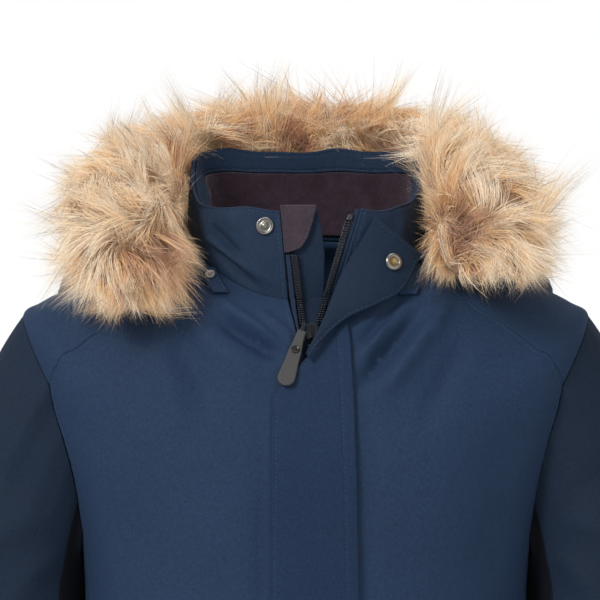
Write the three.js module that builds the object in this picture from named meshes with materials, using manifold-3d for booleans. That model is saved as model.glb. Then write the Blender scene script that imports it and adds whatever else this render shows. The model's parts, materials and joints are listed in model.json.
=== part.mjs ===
// A child's snowsuit, filled out and hollow, with the zip half open and the hood folded back.
// Millimetres, +Z up, -Y is the front, +X is the wearer's left.
// The origin is in the middle of the neck opening, level with the front of its seam.
import * as THREE from "three";
import { mergeVertices } from "three/addons/utils/BufferGeometryUtils.js";
import Module from "manifold-3d";

const wasm = await Module();
wasm.setup();

// Cloth and seams
const SHELL = 3;
const SEAM_GAP = 0.3;
const TAPE = 1.2;
const FLEECE = 3;
const FACING = 1.6;

const degrees = THREE.MathUtils.degToRad;
const mix = THREE.MathUtils.lerp;
const vec = (x, y, z) => new THREE.Vector3(x, y, z);

// The body's form: one ring for each row. A ring sinks from its sides to its front and back.
const BODY_COLUMNS = ["halfWidth", "sideZ", "frontY", "frontZ", "backY", "backZ"];
const BODY = [
  [84, 38, 62, 0, 54, 46],
  [120, 29, 78, -22, 76, 26],
  [163, 14, 92, -52, 95, -6],
  [196, -1, 100, -84, 104, -44],
  [211, -16, 105, -115, 108, -84],
  [199, -72, 107, -150, 109, -130],
  [175, -140, 109, -195, 109, -185],
  [165, -200, 110, -235, 108, -230],
  [164, -270, 110, -285, 106, -280],
  [161, -350, 108, -355, 103, -355],
  [160, -425, 109, -425, 105, -425],
  [164, -495, 112, -495, 113, -495],
  [166, -560, 114, -560, 118, -560],
];
const BODY_SQUARENESS = 2.2;
const HEM_ROW = BODY.length - 1;

// The seam from the neck over the shoulder and down the armhole, seen from the front.
const NECK_SEAM_ANGLE = 68;
const SIDE_SEAM_ANGLE = 74;
const FRONT_SEAM_COLUMNS = ["x", "z"];
const FRONT_SEAM = [
  [102, 12],
  [125, -5],
  [150, -22],
  [168, -36],
  [181, -48],
  [187, -62],
  [184, -79],
  [178, -98],
  [172, -120],
  [168, -140],
  [166, -158],
  [163.5, -176],
];
const CORNER = 6; // the row of the whole seam where the sleeve seam leaves it
const SLEEVE_SEAM_RISE = 0.72; // in rows of the body, over the shoulder's tip

// The front edges beside the zip, seen from the front: the right one and the left one part above the slider.
const EDGE_COLUMNS = ["z", "right", "left"];
const EDGES = [
  [70, -19, 41],
  [35, -16, 30.5],
  [0, -13, 19.5],
  [-26, -6, 13.5],
  [-60, -5, 12.5],
  [-600, -5, 12.5],
];

const SLEEVE_COLUMNS = ["x", "y", "z", "halfWidth", "halfDepth"];
const SLEEVE = [
  [224, 4, -200, 46, 58],
  [236, 1, -250, 45, 55],
  [248, -5, -300, 44, 51],
  [260, -14, -346, 42, 47],
  [271, -25, -390, 40, 43],
];
const CAP_TOP_WAY = vec(0.6, 0, -0.8);
const CAP_UNDER_WAY = vec(0.2, 0, -1);

// The trousers: each leg's ring parts from the middle as its centre moves out.
const LEG_COLUMNS = ["z", "centre", "halfWidth", "frontY", "backY"];
const LEG = [
  [-560, 0, 166, 114, 118],
  [-590, 45, 121, 112, 119],
  [-612, 68, 98.4, 108, 116],
  [-640, 83.8, 83.4, 102, 110],
  [-700, 91, 80, 94, 98],
  [-780, 98, 75, 85, 88],
  [-860, 103, 71, 79, 81],
  [-950, 107, 68, 73, 75],
  [-1040, 110, 66, 69, 71],
];

// The collar stands on the neck seam.
const COLLAR_HALF_WIDTH = 86;
const COLLAR_FRONT_Y = 60;
const COLLAR_BACK_Y = 58;
const COLLAR_FRONT_Z = 67;
const COLLAR_BACK_RISE = 47;
// The top rises to the back between these shares of the depth, from the front.
const COLLAR_RISE = { from: 0.15, to: 0.82 };
// How much narrower the top is at the front, reached at this share of the depth.
const COLLAR_TAPER = { by: 11, at: 0.75 };
const COLLAR_SQUARENESS = 3.2;
const COLLAR_BULGE = 3;
const FACING_FROM = 0.76;

const read = (table, columns, name, at) => {
  const column = columns.indexOf(name);
  const last = table.length - 1;
  const i = Math.min(Math.max(Math.floor(at), 0), last - 1);
  const f = at - i;
  const value = (k) => {
    if (k < 0) return 2 * table[0][column] - table[1][column];
    if (k > last) return 2 * table[last][column] - table[last - 1][column];
    return table[k][column];
  };
  const [a, b, c, d] = [value(i - 1), value(i), value(i + 1), value(i + 2)];
  const bend = 2 * a - 5 * b + 4 * c - d + (3 * (b - c) + d - a) * f;
  return b + 0.5 * f * (c - a + f * bend);
};

// A value from a table whose first column falls, in straight steps.
const between = (table, column, at) => {
  for (let i = 1; i < table.length; i += 1) {
    if (at > table[i][0] || i === table.length - 1) {
      const share = (at - table[i - 1][0]) / (table[i][0] - table[i - 1][0]);
      return mix(table[i - 1][column], table[i][column], share);
    }
  }
  return table[0][column];
};

const power = (value) => Math.sign(value) * Math.abs(value) ** (2 / BODY_SQUARENESS);

// How many flat facets each wall has across and along.
const FRONT_COLUMNS = 6;
const BACK_COLUMNS = 10;
const SIDE_COLUMNS = 3;
const SHOULDER_COLUMNS = 6;
const SLEEVE_FACETS = 12;
const UNDER_COLUMNS = 3;
const SLEEVE_ROWS = 9;
const LEG_FACETS = 7;
const LEG_ROWS = 9;
const COLLAR_FACETS = 26;
const HOOD_SIDE_FACETS = 8;
const HOOD_CENTRE_FACETS = 3;
const HOOD_ROWS = 11;

// A point moved out from a surface along its normal.
const STEP = 0.02;
const movedOut = (surface, facing) => (u, v, out) => {
  const p = surface(u, v);
  const du = surface(u + STEP, v).sub(surface(u - STEP, v));
  const dv = surface(u, v + STEP).sub(surface(u, v - STEP));
  return p.addScaledVector(du.cross(dv).normalize(), out * facing);
};

const bodySurface = (around, row) => {
  const at = (name) => read(BODY, BODY_COLUMNS, name, row);
  const c = Math.cos(around);
  const [depth, low] = c > 0 ? [at("frontY"), at("frontZ")] : [at("backY"), at("backZ")];
  const z = mix(at("sideZ"), low, c * c);
  return vec(at("halfWidth") * power(Math.sin(around)), -depth * power(c), z);
};
const body = movedOut(bodySurface, -1);

// The place on a surface, as its two parameters, that shows at x, z from the front.
const placeAt = (surface, x, z, start) => {
  let [around, row] = start;
  for (let i = 0; i < 40; i += 1) {
    const p = surface(around, row);
    const du = surface(around + 0.001, row).sub(p).divideScalar(0.001);
    const dv = surface(around, row + 0.001).sub(p).divideScalar(0.001);
    const [ex, ez] = [x - p.x, z - p.z];
    const det = du.x * dv.z - dv.x * du.z;
    const turn = (ex * dv.z - dv.x * ez) / det;
    const drop = (du.x * ez - ex * du.z) / det;
    around += THREE.MathUtils.clamp(turn, -0.1, 0.1);
    row += THREE.MathUtils.clamp(drop, -0.3, 0.3);
  }
  return [around, row];
};

// Closed bodies
const bodyOf = (points, triangles) => {
  const geometry = new THREE.BufferGeometry();
  geometry.setAttribute("position", new THREE.Float32BufferAttribute(points.flatMap((p) => p.toArray()), 3));
  let volume = 0;
  for (const [a, b, c] of triangles) volume += points[a].dot(points[b].clone().cross(points[c]));
  const facingOut = volume > 0 ? triangles : triangles.map(([a, b, c]) => [a, c, b]);
  geometry.setIndex(facingOut.flat());
  return geometry;
};

// A wall over a patch: its outer face at out, its inner face a thickness further in.
const wall = (patch, columns, rows, out, thickness) => {
  const points = [];
  const triangles = [];
  const face = (columns + 1) * (rows + 1);
  for (const depth of [out, out - thickness]) {
    for (let j = 0; j <= rows; j += 1) {
      for (let i = 0; i <= columns; i += 1) points.push(patch(i / columns, j / rows, depth));
    }
  }
  const at = (i, j, side) => side * face + j * (columns + 1) + i;
  const quad = (a, b, c, d) => triangles.push([a, b, c], [a, c, d]);
  for (let j = 0; j < rows; j += 1) {
    for (let i = 0; i < columns; i += 1) {
      quad(at(i, j, 0), at(i + 1, j, 0), at(i + 1, j + 1, 0), at(i, j + 1, 0));
      quad(at(i, j, 1), at(i, j + 1, 1), at(i + 1, j + 1, 1), at(i + 1, j, 1));
    }
    quad(at(0, j, 0), at(0, j + 1, 0), at(0, j + 1, 1), at(0, j, 1));
    quad(at(columns, j, 1), at(columns, j + 1, 1), at(columns, j + 1, 0), at(columns, j, 0));
  }
  for (let i = 0; i < columns; i += 1) {
    quad(at(i, 0, 1), at(i + 1, 0, 1), at(i + 1, 0, 0), at(i, 0, 0));
    quad(at(i, rows, 0), at(i + 1, rows, 0), at(i + 1, rows, 1), at(i, rows, 1));
  }
  return bodyOf(points, triangles);
};

// A solid through rings of equal count, closed by a point at each end.
const loft = (rings, first, last) => {
  const count = rings[0].length;
  const points = [...rings.flat(), first, last];
  const triangles = [];
  for (let j = 0; j + 1 < rings.length; j += 1) {
    for (let i = 0; i < count; i += 1) {
      const [a, b] = [j * count + i, j * count + ((i + 1) % count)];
      triangles.push([a, b, b + count], [a, b + count, a + count]);
    }
  }
  const end = (rings.length - 1) * count;
  for (let i = 0; i < count; i += 1) {
    const next = (i + 1) % count;
    triangles.push([points.length - 2, next, i], [points.length - 1, end + i, end + next]);
  }
  return bodyOf(points, triangles);
};

const solidOf = (geometry) => {
  const plain = geometry.clone();
  plain.deleteAttribute("normal");
  plain.deleteAttribute("uv");
  const merged = mergeVertices(plain);
  const vertProperties = merged.attributes.position.array;
  const triVerts = new Uint32Array(merged.index.array);
  return new wasm.Manifold(new wasm.Mesh({ numProp: 3, vertProperties, triVerts }));
};

const geometryOf = (solid) => {
  const mesh = solid.getMesh();
  const geometry = new THREE.BufferGeometry();
  geometry.setAttribute("position", new THREE.BufferAttribute(new Float32Array(mesh.vertProperties), 3));
  geometry.setIndex(new THREE.BufferAttribute(new Uint32Array(mesh.triVerts), 1));
  return geometry;
};

// Colours and finishes
const cloth = (color) => new THREE.MeshStandardMaterial({ color, roughness: 0.75, metalness: 0 });
const NAVY = cloth(0x2d3f57);
const NAVY_DARK = cloth(0x27374d);
const LINING = cloth(0x30272e);
const GUARD = cloth(0x5a4e55);
const FUR = new THREE.MeshStandardMaterial({ color: 0xcfa77c, roughness: 1, metalness: 0 });
const ZIP = new THREE.MeshStandardMaterial({ color: 0x14161c, roughness: 0.4, metalness: 0 });
const NICKEL = new THREE.MeshStandardMaterial({ color: 0x9b958c, roughness: 0.3, metalness: 1 });
const RUBBER = new THREE.MeshStandardMaterial({ color: 0x6a6865, roughness: 0.6, metalness: 0 });

const snowsuit = new THREE.Group();
const add = (name, geometry, material) => {
  const mesh = new THREE.Mesh(geometry, material);
  mesh.name = name;
  snowsuit.add(mesh);
  return geometry;
};
const mirrored = (geometry) => {
  const position = geometry.attributes.position;
  const points = [];
  for (let i = 0; i < position.count; i += 1) {
    points.push(vec(-position.getX(i), position.getY(i), position.getZ(i)));
  }
  const index = [...geometry.index.array];
  const triangles = [];
  for (let i = 0; i < index.length; i += 3) triangles.push([index[i], index[i + 2], index[i + 1]]);
  return bodyOf(points, triangles);
};

// The seam of the front, as places on the body from the neck down to the underarm, and on to the hem.
const seamPlaces = [[degrees(NECK_SEAM_ANGLE), 0]];
for (const [x, z] of FRONT_SEAM) seamPlaces.push(placeAt(bodySurface, x, z, seamPlaces.at(-1)));
const underarm = seamPlaces.at(-1);
const corner = seamPlaces[CORNER];
const armhole = seamPlaces.slice(CORNER);
const seamAngle = (row) => {
  if (row >= underarm[1]) return mix(underarm[0], degrees(SIDE_SEAM_ANGLE), Math.min(row - underarm[1], 1));
  const i = seamPlaces.findIndex((place) => place[1] > row);
  if (i < 1) return seamPlaces[0][0];
  const [a, b] = [seamPlaces[i - 1], seamPlaces[i]];
  return mix(a[0], b[0], (row - a[1]) / (b[1] - a[1]));
};
const LOWER_ROWS = [7.4, 8.4, 9.5, 10.5, 11.3, HEM_ROW];
const panelRows = [...seamPlaces.map((place) => place[1]), ...LOWER_ROWS];
const rowFrom = (first, v) => {
  const at = mix(first, panelRows.length - 1, v);
  const i = Math.min(Math.floor(at), panelRows.length - 2);
  return mix(panelRows[i], panelRows[i + 1], at - i);
};
const rowAt = (v) => rowFrom(0, v);
const ALL_ROWS = panelRows.length - 1;
const SIDE_ROWS = LOWER_ROWS.length;

// The angle on a row of the body where the front edge runs.
const edgeAngle = (row, side) => {
  let [low, high] = [-1, 1];
  for (let i = 0; i < 40; i += 1) {
    const middle = (low + high) / 2;
    const p = bodySurface(middle, row);
    if (p.x < between(EDGES, EDGE_COLUMNS.indexOf(side), p.z)) low = middle;
    else high = middle;
  }
  return low;
};

// Moves a patch's sides in by half the seam's gap or a little more, and its ends too where they meet a seam.
const TRIM = 0.2;
const RUN_STEPS = 8;
const runOf = (line) => {
  let run = 0;
  for (let i = 1; i <= RUN_STEPS; i += 1) run += line(i / RUN_STEPS).distanceTo(line((i - 1) / RUN_STEPS));
  return run;
};
const trimmed = (patch, ends = false) => {
  const narrowest = Math.min(...[0.1, 0.5, 0.9].map((v) => runOf((u) => patch(u, v, 0))));
  const side = TRIM / narrowest;
  const end = ends ? TRIM / runOf((v) => patch(0.5, v, 0)) : 0;
  return (u, v, out) => patch(mix(side, 1 - side, u), mix(end, 1 - end, v), out);
};

// Fronts, back, sides and shoulders
const frontPatch = (side) => (u, v, out) => {
  const row = rowAt(v);
  const far = side === "left" ? seamAngle(row) : -seamAngle(row);
  return body(mix(edgeAngle(row, side), far, u), row, out);
};
add("front_right", wall(trimmed(frontPatch("right"), true), FRONT_COLUMNS, ALL_ROWS, 0, SHELL), NAVY);
add("front_left", wall(trimmed(frontPatch("left"), true), FRONT_COLUMNS, ALL_ROWS, 0, SHELL), NAVY);

const backPatch = (u, v, out) => {
  const row = rowAt(v);
  const from = Math.PI - seamAngle(row);
  return body(mix(from, 2 * Math.PI - from, u), row, out);
};
add("back", wall(trimmed(backPatch, true), BACK_COLUMNS, ALL_ROWS, 0, SHELL), NAVY);

const sidePatch = (u, v, out) => {
  const row = rowFrom(seamPlaces.length - 1, v);
  const from = seamAngle(row);
  return body(mix(from, Math.PI - from, u), row, out);
};
const side = add("side_left", wall(trimmed(sidePatch, true), SIDE_COLUMNS, SIDE_ROWS, 0, SHELL), NAVY_DARK);
add("side_right", mirrored(side), NAVY_DARK);

// The shoulder runs from the front's seam to the back's, out to the sleeve.
const shoulderPatch = (u, v, out) => {
  const at = v * CORNER;
  const i = Math.min(Math.floor(at), CORNER - 1);
  const angle = mix(seamPlaces[i][0], seamPlaces[i + 1][0], at - i);
  const row = mix(seamPlaces[i][1], seamPlaces[i + 1][1], at - i);
  const rise = SLEEVE_SEAM_RISE * v * v * Math.sin(Math.PI * u);
  return body(mix(angle, Math.PI - angle, u), row - rise, out);
};
const shoulder = wall(trimmed(shoulderPatch, true), SHOULDER_COLUMNS, CORNER, 0, SHELL);
add("shoulder_left", shoulder, NAVY);
add("shoulder_right", mirrored(shoulder), NAVY);

// Sleeves: from the armhole's edge, round the shoulder, into a hanging tube.
const armholePlaces = () => {
  const rise = (u) => SLEEVE_SEAM_RISE * Math.sin(Math.PI * u);
  const top = (u) => [mix(corner[0], Math.PI - corner[0], u), corner[1] - rise(u)];
  const down = [0.5, 0.4, 0.3, 0.2, 0.1].map(top);
  const under = [0, 0.25, 0.5].map((u) => [mix(underarm[0], Math.PI - underarm[0], u), underarm[1]]);
  const half = [...down, ...armhole.slice(0, -1), ...under];
  const other = half.slice(1, -1).reverse().map(([angle, row]) => [Math.PI - angle, row]);
  return [...half, ...other, half[0]];
};
const armholeCurve = new THREE.CurvePath();
const armholePoints = armholePlaces().map(([angle, row]) => bodySurface(angle, row));
armholePoints.slice(1).forEach((p, i) => armholeCurve.add(new THREE.LineCurve3(armholePoints[i], p)));

const SLEEVE_COUNT = SLEEVE.length - 1;
const CAP_SHARE = 0.45;
const CAP_PULL = 1.1;
const SLEEVE_GAP = 0.7;
const tube = (share, at) => {
  const value = (name, where) => read(SLEEVE, SLEEVE_COLUMNS, name, where);
  const centre = (where) => vec(value("x", where), value("y", where), value("z", where));
  const way = centre(at + STEP).sub(centre(at - STEP)).normalize();
  const across = vec(-way.z, 0, way.x).normalize();
  const angle = 2 * Math.PI * share;
  const [width, depth] = [value("halfWidth", at), value("halfDepth", at)];
  const point = centre(at).addScaledVector(across, width * Math.cos(angle));
  return { point: point.add(vec(0, -depth * Math.sin(angle), 0)), way };
};
const sleeveSurface = (share, v) => {
  const around = ((share % 1) + 1) % 1;
  if (v > CAP_SHARE) return tube(around, ((v - CAP_SHARE) / (1 - CAP_SHARE)) * SLEEVE_COUNT).point;
  const under = (1 - Math.cos(2 * Math.PI * around)) / 2;
  const startWay = CAP_TOP_WAY.clone().lerp(CAP_UNDER_WAY, under).normalize();
  const clear = vec(SLEEVE_GAP * (1 + under), 0, 0);
  const start = armholeCurve.getPoint(around).addScaledVector(startWay, SLEEVE_GAP).add(clear);
  const { point: end, way } = tube(around, 0);
  const reach = start.distanceTo(end) * CAP_PULL;
  const t = Math.max(v, 0) / CAP_SHARE;
  const [t2, t3] = [t * t, t * t * t];
  return start
    .multiplyScalar(2 * t3 - 3 * t2 + 1)
    .addScaledVector(startWay, reach * (t3 - 2 * t2 + t))
    .addScaledVector(end, 3 * t2 - 2 * t3)
    .addScaledVector(way, reach * (t3 - t2));
};
const sleeve = movedOut(sleeveSurface, 1);
const UNDER_FROM = 0.37;
const sleevePatch = (from, to) => (u, v, out) => sleeve(mix(from, to, u), v, out);
const upper = wall(trimmed(sleevePatch(-UNDER_FROM, UNDER_FROM)), SLEEVE_FACETS, SLEEVE_ROWS, 0, SHELL);
const under = wall(trimmed(sleevePatch(UNDER_FROM, 1 - UNDER_FROM)), UNDER_COLUMNS, SLEEVE_ROWS, 0, SHELL);
add("sleeve_left", upper, NAVY);
add("sleeve_right", mirrored(upper), NAVY);
add("sleeve_under_left", under, NAVY_DARK);
add("sleeve_under_right", mirrored(under), NAVY_DARK);

// Legs: a front and a back quarter on each side, from the hips down over the fork.
const legStart = (row) => {
  const across = read(LEG, LEG_COLUMNS, "centre", row) - SEAM_GAP / 2;
  const share = Math.min(across / read(LEG, LEG_COLUMNS, "halfWidth", row), 1);
  return -Math.asin(Math.max(share, 0) ** (BODY_SQUARENESS / 2));
};
const legSurface = (around, row) => {
  const at = (name) => read(LEG, LEG_COLUMNS, name, row);
  const c = Math.cos(around);
  const x = at("centre") + at("halfWidth") * power(Math.sin(around));
  return vec(x, -(c > 0 ? at("frontY") : at("backY")) * power(c), at("z"));
};
const leg = movedOut(legSurface, -1);
const LEG_COUNT = LEG.length - 1;
const LEG_DROP = 0.02;
const frontLegPatch = (u, v, out) => {
  const row = mix(LEG_DROP, LEG_COUNT, v);
  const p = leg(mix(legStart(row), Math.PI / 2, u), row, out);
  return vec(Math.max(p.x, SEAM_GAP / 2), p.y, p.z);
};
const backLegPatch = (u, v, out) => {
  const row = mix(LEG_DROP, LEG_COUNT, v);
  const p = leg(mix(Math.PI - legStart(row), Math.PI / 2, u), row, out);
  return vec(Math.max(p.x, SEAM_GAP / 2), p.y, p.z);
};
const legFront = wall(trimmed(frontLegPatch), LEG_FACETS, LEG_ROWS, 0, SHELL);
const legBack = wall(trimmed(backLegPatch), LEG_FACETS, LEG_ROWS, 0, SHELL);
add("leg_front_left", legFront, NAVY);
add("leg_front_right", mirrored(legFront), NAVY);
add("leg_back_left", legBack, NAVY);
add("leg_back_right", mirrored(legBack), NAVY);

// Collar: outer band, a facing along the top of its inside, and the fleece lining below.
const collarSurface = (around, height) => {
  const foot = bodySurface(around, 0);
  const c = Math.cos(around);
  const s = Math.sin(around);
  const depth = c > 0 ? COLLAR_FRONT_Y : COLLAR_BACK_Y;
  const raised = (value) => Math.abs(value) ** COLLAR_SQUARENESS;
  const grow = (raised(s) + raised(c)) ** (-1 / COLLAR_SQUARENESS);
  const rise = COLLAR_BACK_RISE * THREE.MathUtils.smoothstep((1 - c) / 2, COLLAR_RISE.from, COLLAR_RISE.to);
  const half = COLLAR_HALF_WIDTH - COLLAR_TAPER.by * THREE.MathUtils.smoothstep(c, 0, COLLAR_TAPER.at);
  const top = vec(half * s * grow, -depth * c * grow, COLLAR_FRONT_Z + rise);
  const out = vec(foot.x, foot.y, 0).normalize().multiplyScalar(COLLAR_BULGE * Math.sin(Math.PI * height));
  return foot.lerp(top, height).add(out);
};
const collar = movedOut(collarSurface, 1);
const collarEdge = (height, side) => {
  let [low, high] = [-1, 1];
  for (let i = 0; i < 40; i += 1) {
    const middle = (low + high) / 2;
    const p = collarSurface(middle, height);
    if (p.x < between(EDGES, EDGE_COLUMNS.indexOf(side), p.z)) low = middle;
    else high = middle;
  }
  return low;
};
const collarPatch = (from, to) => (u, v, out) => {
  const height = mix(to, from, v);
  const [left, right] = [collarEdge(height, "left"), 2 * Math.PI + collarEdge(height, "right")];
  return collar(mix(left, right, u), height, out);
};
const COLLAR_SHELL = 3;
const inside = -COLLAR_SHELL - 2 * SEAM_GAP;
const COLLAR_FOOT = 0.01;
add("collar", wall(trimmed(collarPatch(COLLAR_FOOT, 1)), COLLAR_FACETS, 3, 0, COLLAR_SHELL), NAVY);
const facing = wall(trimmed(collarPatch(FACING_FROM, 0.99)), COLLAR_FACETS, 1, inside, FACING);
add("collar_facing", facing, NAVY_DARK);
const lining = wall(trimmed(collarPatch(0.03, FACING_FROM - 0.01)), COLLAR_FACETS, 2, inside, FLEECE);
add("collar_lining", lining, LINING);

// A point of the front, found by where it shows from the front, and moved out along the form's normal.
const NECK_BLEND = 14;
const frontView = (x, z, out) => {
  const neck = degrees(90) * (x / BODY[0][0]);
  const foot = bodySurface(THREE.MathUtils.clamp(neck, -1.4, 1.4), 0);
  const share = THREE.MathUtils.smoothstep(z - foot.z, -NECK_BLEND, NECK_BLEND);
  const low = placeAt(bodySurface, x, Math.min(z, foot.z), [neck, 1]);
  const high = placeAt(collarSurface, x, Math.max(z, foot.z), [neck, 0.5]);
  const base = z < foot.z ? bodySurface(...low) : collarSurface(...high);
  const lowNormal = body(...low, 1).sub(bodySurface(...low));
  const highNormal = collar(...high, 1).sub(collarSurface(...high));
  return base.addScaledVector(lowNormal.lerp(highNormal, share).normalize(), out);
};

// A strip of the front between two x columns. All strips bend at the same levels.
const LEVEL_TOP = 72;
const LEVEL_STEP = 8;
const UPPER_LEVELS = Array.from({ length: 19 }, (_, i) => LEVEL_TOP - LEVEL_STEP * i);
const LEVELS = [...UPPER_LEVELS, -110, -160, -220, -290, -350, -425, -495];
const strip = (table, low, high, out, thickness, columns) => {
  const rows = [high, ...LEVELS.filter((z) => z < high - 1 && z > low + 1), low];
  const patch = (u, v, depth) => {
    const z = rows[Math.round(v * (rows.length - 1))];
    return frontView(mix(between(table, 1, z), between(table, 2, z), u), z, depth);
  };
  return wall(patch, columns, rows.length - 1, out, thickness);
};

// Zip: two tapes, two open chains and one closed chain, columns z, from x, to x.
const ZIP_END = -545;
const CHAIN_TOP = 33;
const TAPE_RIGHT = [
  [CHAIN_TOP, -14.8, -11.6],
  [0, -11.8, -7.8],
  [-26, -5.2, -4.2],
  [-60, -4.2, 0.3],
  [-600, -4.2, 0.3],
];
const TAPE_LEFT = [
  [66, 36, 39.4],
  [35, 27.3, 30],
  [0, 16.8, 18.8],
  [-26, 11.4, 12.9],
  [-60, 6.9, 11.8],
  [-600, 6.9, 11.8],
];
const CHAIN_RIGHT = [
  [CHAIN_TOP, -11.2, -6.6],
  [-17, -4.6, 0],
];
const CHAIN_LEFT = [
  [57, 28.3, 32.9],
  [-6.5, 9.9, 14.5],
  [-17, 7, 11.6],
];
const CHAIN_CLOSED = [
  [-31, 0.7, 6.5],
  [-600, 0.7, 6.5],
];
add("zip_tape_right", strip(TAPE_RIGHT, ZIP_END, CHAIN_TOP, -0.8, TAPE, 1), ZIP);
add("zip_tape_left", strip(TAPE_LEFT, ZIP_END, 66, -0.8, TAPE, 1), ZIP);
add("zip_chain_right", strip(CHAIN_RIGHT, -16.5, CHAIN_TOP, 0.6, 2.4, 1), ZIP);
add("zip_chain_left", strip(CHAIN_LEFT, -16.5, 57, 0.6, 2.4, 1), ZIP);
add("zip_chain_closed", strip(CHAIN_CLOSED, ZIP_END, -31, 0.6, 2.4, 1), ZIP);

// The wind flap behind the zip and the guard over the top of the right chain, columns z, from x, to x.
const WIND_FLAP = [
  [67, -10.5, 8],
  [52, -10.5, 11.6],
  [33, -10.5, 14],
  [0, -10.5, 13.5],
  [-60, -10.5, 12],
  [-600, -10.5, 12],
];
add("wind_flap", strip(WIND_FLAP, ZIP_END, 67, -4.2, 1.6, 3), NAVY_DARK);
const CHIN_GUARD = [
  [69, -18.7, 7.6],
  [56.5, -17.4, 5],
  [45.6, -16.6, 1.4],
  [38, -15.9, -3.6],
  [34.5, -15.6, -12.5],
];
add("chin_guard", strip(CHIN_GUARD, 34.5, 69, 0.9, 3.6, 4), GUARD);

// Storm flap: flat over the zip, its left edge leaning in to the fold, columns z, from x, to x.
const FLAP_OUT = 4.2;
const STORM_FLAP_END = -552;
const STORM_FLAP_TOP = -12;
const STORM_FLAP = [
  [STORM_FLAP_TOP, 26, 28],
  [-22, 19, 30.5],
  [-33, 10, 32],
  [-44, -1, 32.4],
  [-56, -12, 33.4],
  [-68, -24, 34],
  [-125, -24.5, 36],
  [-217, -25, 37.6],
  [-600, -25, 38],
];
add("storm_flap", strip(STORM_FLAP, STORM_FLAP_END, STORM_FLAP_TOP, FLAP_OUT, SHELL, 4), NAVY);

// Its top end, turned over to the left along the fold, showing the inner side.
const TURNED_COLUMNS = ["foldX", "foldY", "foldZ", "edgeX", "edgeY", "edgeZ"];
const TURNED = [
  [0, -95.5, -38, 2, -97, -42.5],
  [8, -90.5, -25, 9.6, -92.5, -30],
  [21, -70, 6, 29, -80, -14],
  [28, -66.5, 22, 50, -74, -4],
  [38, -65, 39, 69, -66, 7],
  [50, -60, 60, 83, -52, 33],
];
const TURNED_BULGE = 3;
const turnedSurface = (u, v) => {
  const at = (name) => read(TURNED, TURNED_COLUMNS, name, v * (TURNED.length - 1));
  const fold = vec(at("foldX"), at("foldY"), at("foldZ"));
  const edge = vec(at("edgeX"), at("edgeY"), at("edgeZ"));
  return fold.lerp(edge, u).add(vec(0, -TURNED_BULGE * Math.sin(Math.PI * u) * v, 0));
};
const turned = movedOut(turnedSurface, -1);
add("storm_flap_turned", wall(turned, 4, 10, 0, SHELL), NAVY_DARK);

// Hard pieces on the front, each set along the form's normal.
const onFront = (geometry, x, z, out) => {
  const foot = frontView(x, z, out);
  const normal = frontView(x, z, out + 1).sub(foot).normalize();
  const turn = new THREE.Quaternion().setFromUnitVectors(vec(0, 1, 0), normal);
  return geometry.applyQuaternion(turn).translate(...foot.toArray());
};
const SNAP_RADIUS = 6.4;
const SNAP_SIDES = 14;
// Profiles of the snap's halves: radius, height.
const STUD = [[0, 0], [SNAP_RADIUS, 0], [SNAP_RADIUS, 1.6], [4.6, 2.2], [3, 1.4], [2.6, 3.4], [0, 3.9]];
const SOCKET_PROFILE = [[0, 0], [SNAP_RADIUS, 0], [SNAP_RADIUS, 2.2], [4.4, 2.8], [3.6, 1], [0, 1]];
const STUD_PLACE = { x: -29.7, z: 53.6 };
const lathe = (profile) => {
  const points = profile.map(([radius, height]) => new THREE.Vector2(radius, height));
  const raw = new THREE.LatheGeometry(points, SNAP_SIDES);
  raw.deleteAttribute("normal");
  raw.deleteAttribute("uv");
  return mergeVertices(raw, 1e-4);
};
add("snap_stud", onFront(lathe(STUD), STUD_PLACE.x, STUD_PLACE.z, SEAM_GAP), NICKEL);
const SOCKET = { across: 0.62, along: 0.87, out: -SHELL - 0.9 };
const socketFoot = turned(SOCKET.across, SOCKET.along, SOCKET.out);
const socketWay = turned(SOCKET.across, SOCKET.along, SOCKET.out - 1).sub(socketFoot).normalize();
const socketTurn = new THREE.Quaternion().setFromUnitVectors(vec(0, 1, 0), socketWay);
const socket = lathe(SOCKET_PROFILE).applyQuaternion(socketTurn).translate(...socketFoot.toArray());
add("snap_socket", socket, NICKEL);

// Hood tabs that hold the hood to the body below the collar, and the snap of the right one.
const HOOD_TAB = { out: 3.6, thickness: 2.2 };
const HOOD_TAB_RIGHT = [
  [22, -76, -66],
  [15, -76, -63],
  [4, -67, -56],
];
const HOOD_TAB_LEFT = [
  [18, 67, 82],
  [10, 66, 84],
  [3, 68, 80],
];
add("hood_tab_right", strip(HOOD_TAB_RIGHT, 4, 22, HOOD_TAB.out, HOOD_TAB.thickness, 2), NAVY);
add("hood_tab_left", strip(HOOD_TAB_LEFT, 3, 18, HOOD_TAB.out, HOOD_TAB.thickness, 2), NAVY);
const TAB_SNAP = { x: -69.5, z: 16, scale: 0.62 };
const tabStud = lathe(STUD.map(([radius, height]) => [radius * TAB_SNAP.scale, height * TAB_SNAP.scale]));
add("hood_tab_snap", onFront(tabStud, TAB_SNAP.x, TAB_SNAP.z, HOOD_TAB.out + SEAM_GAP), NICKEL);

// Stop at the top of the left chain.
const TOP_STOP = [
  [62, 30.5, 34.6],
  [57.6, 29, 33.2],
];
add("zip_top_stop", strip(TOP_STOP, 57.6, 62, 1.2, 2.6, 1), ZIP);

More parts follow.
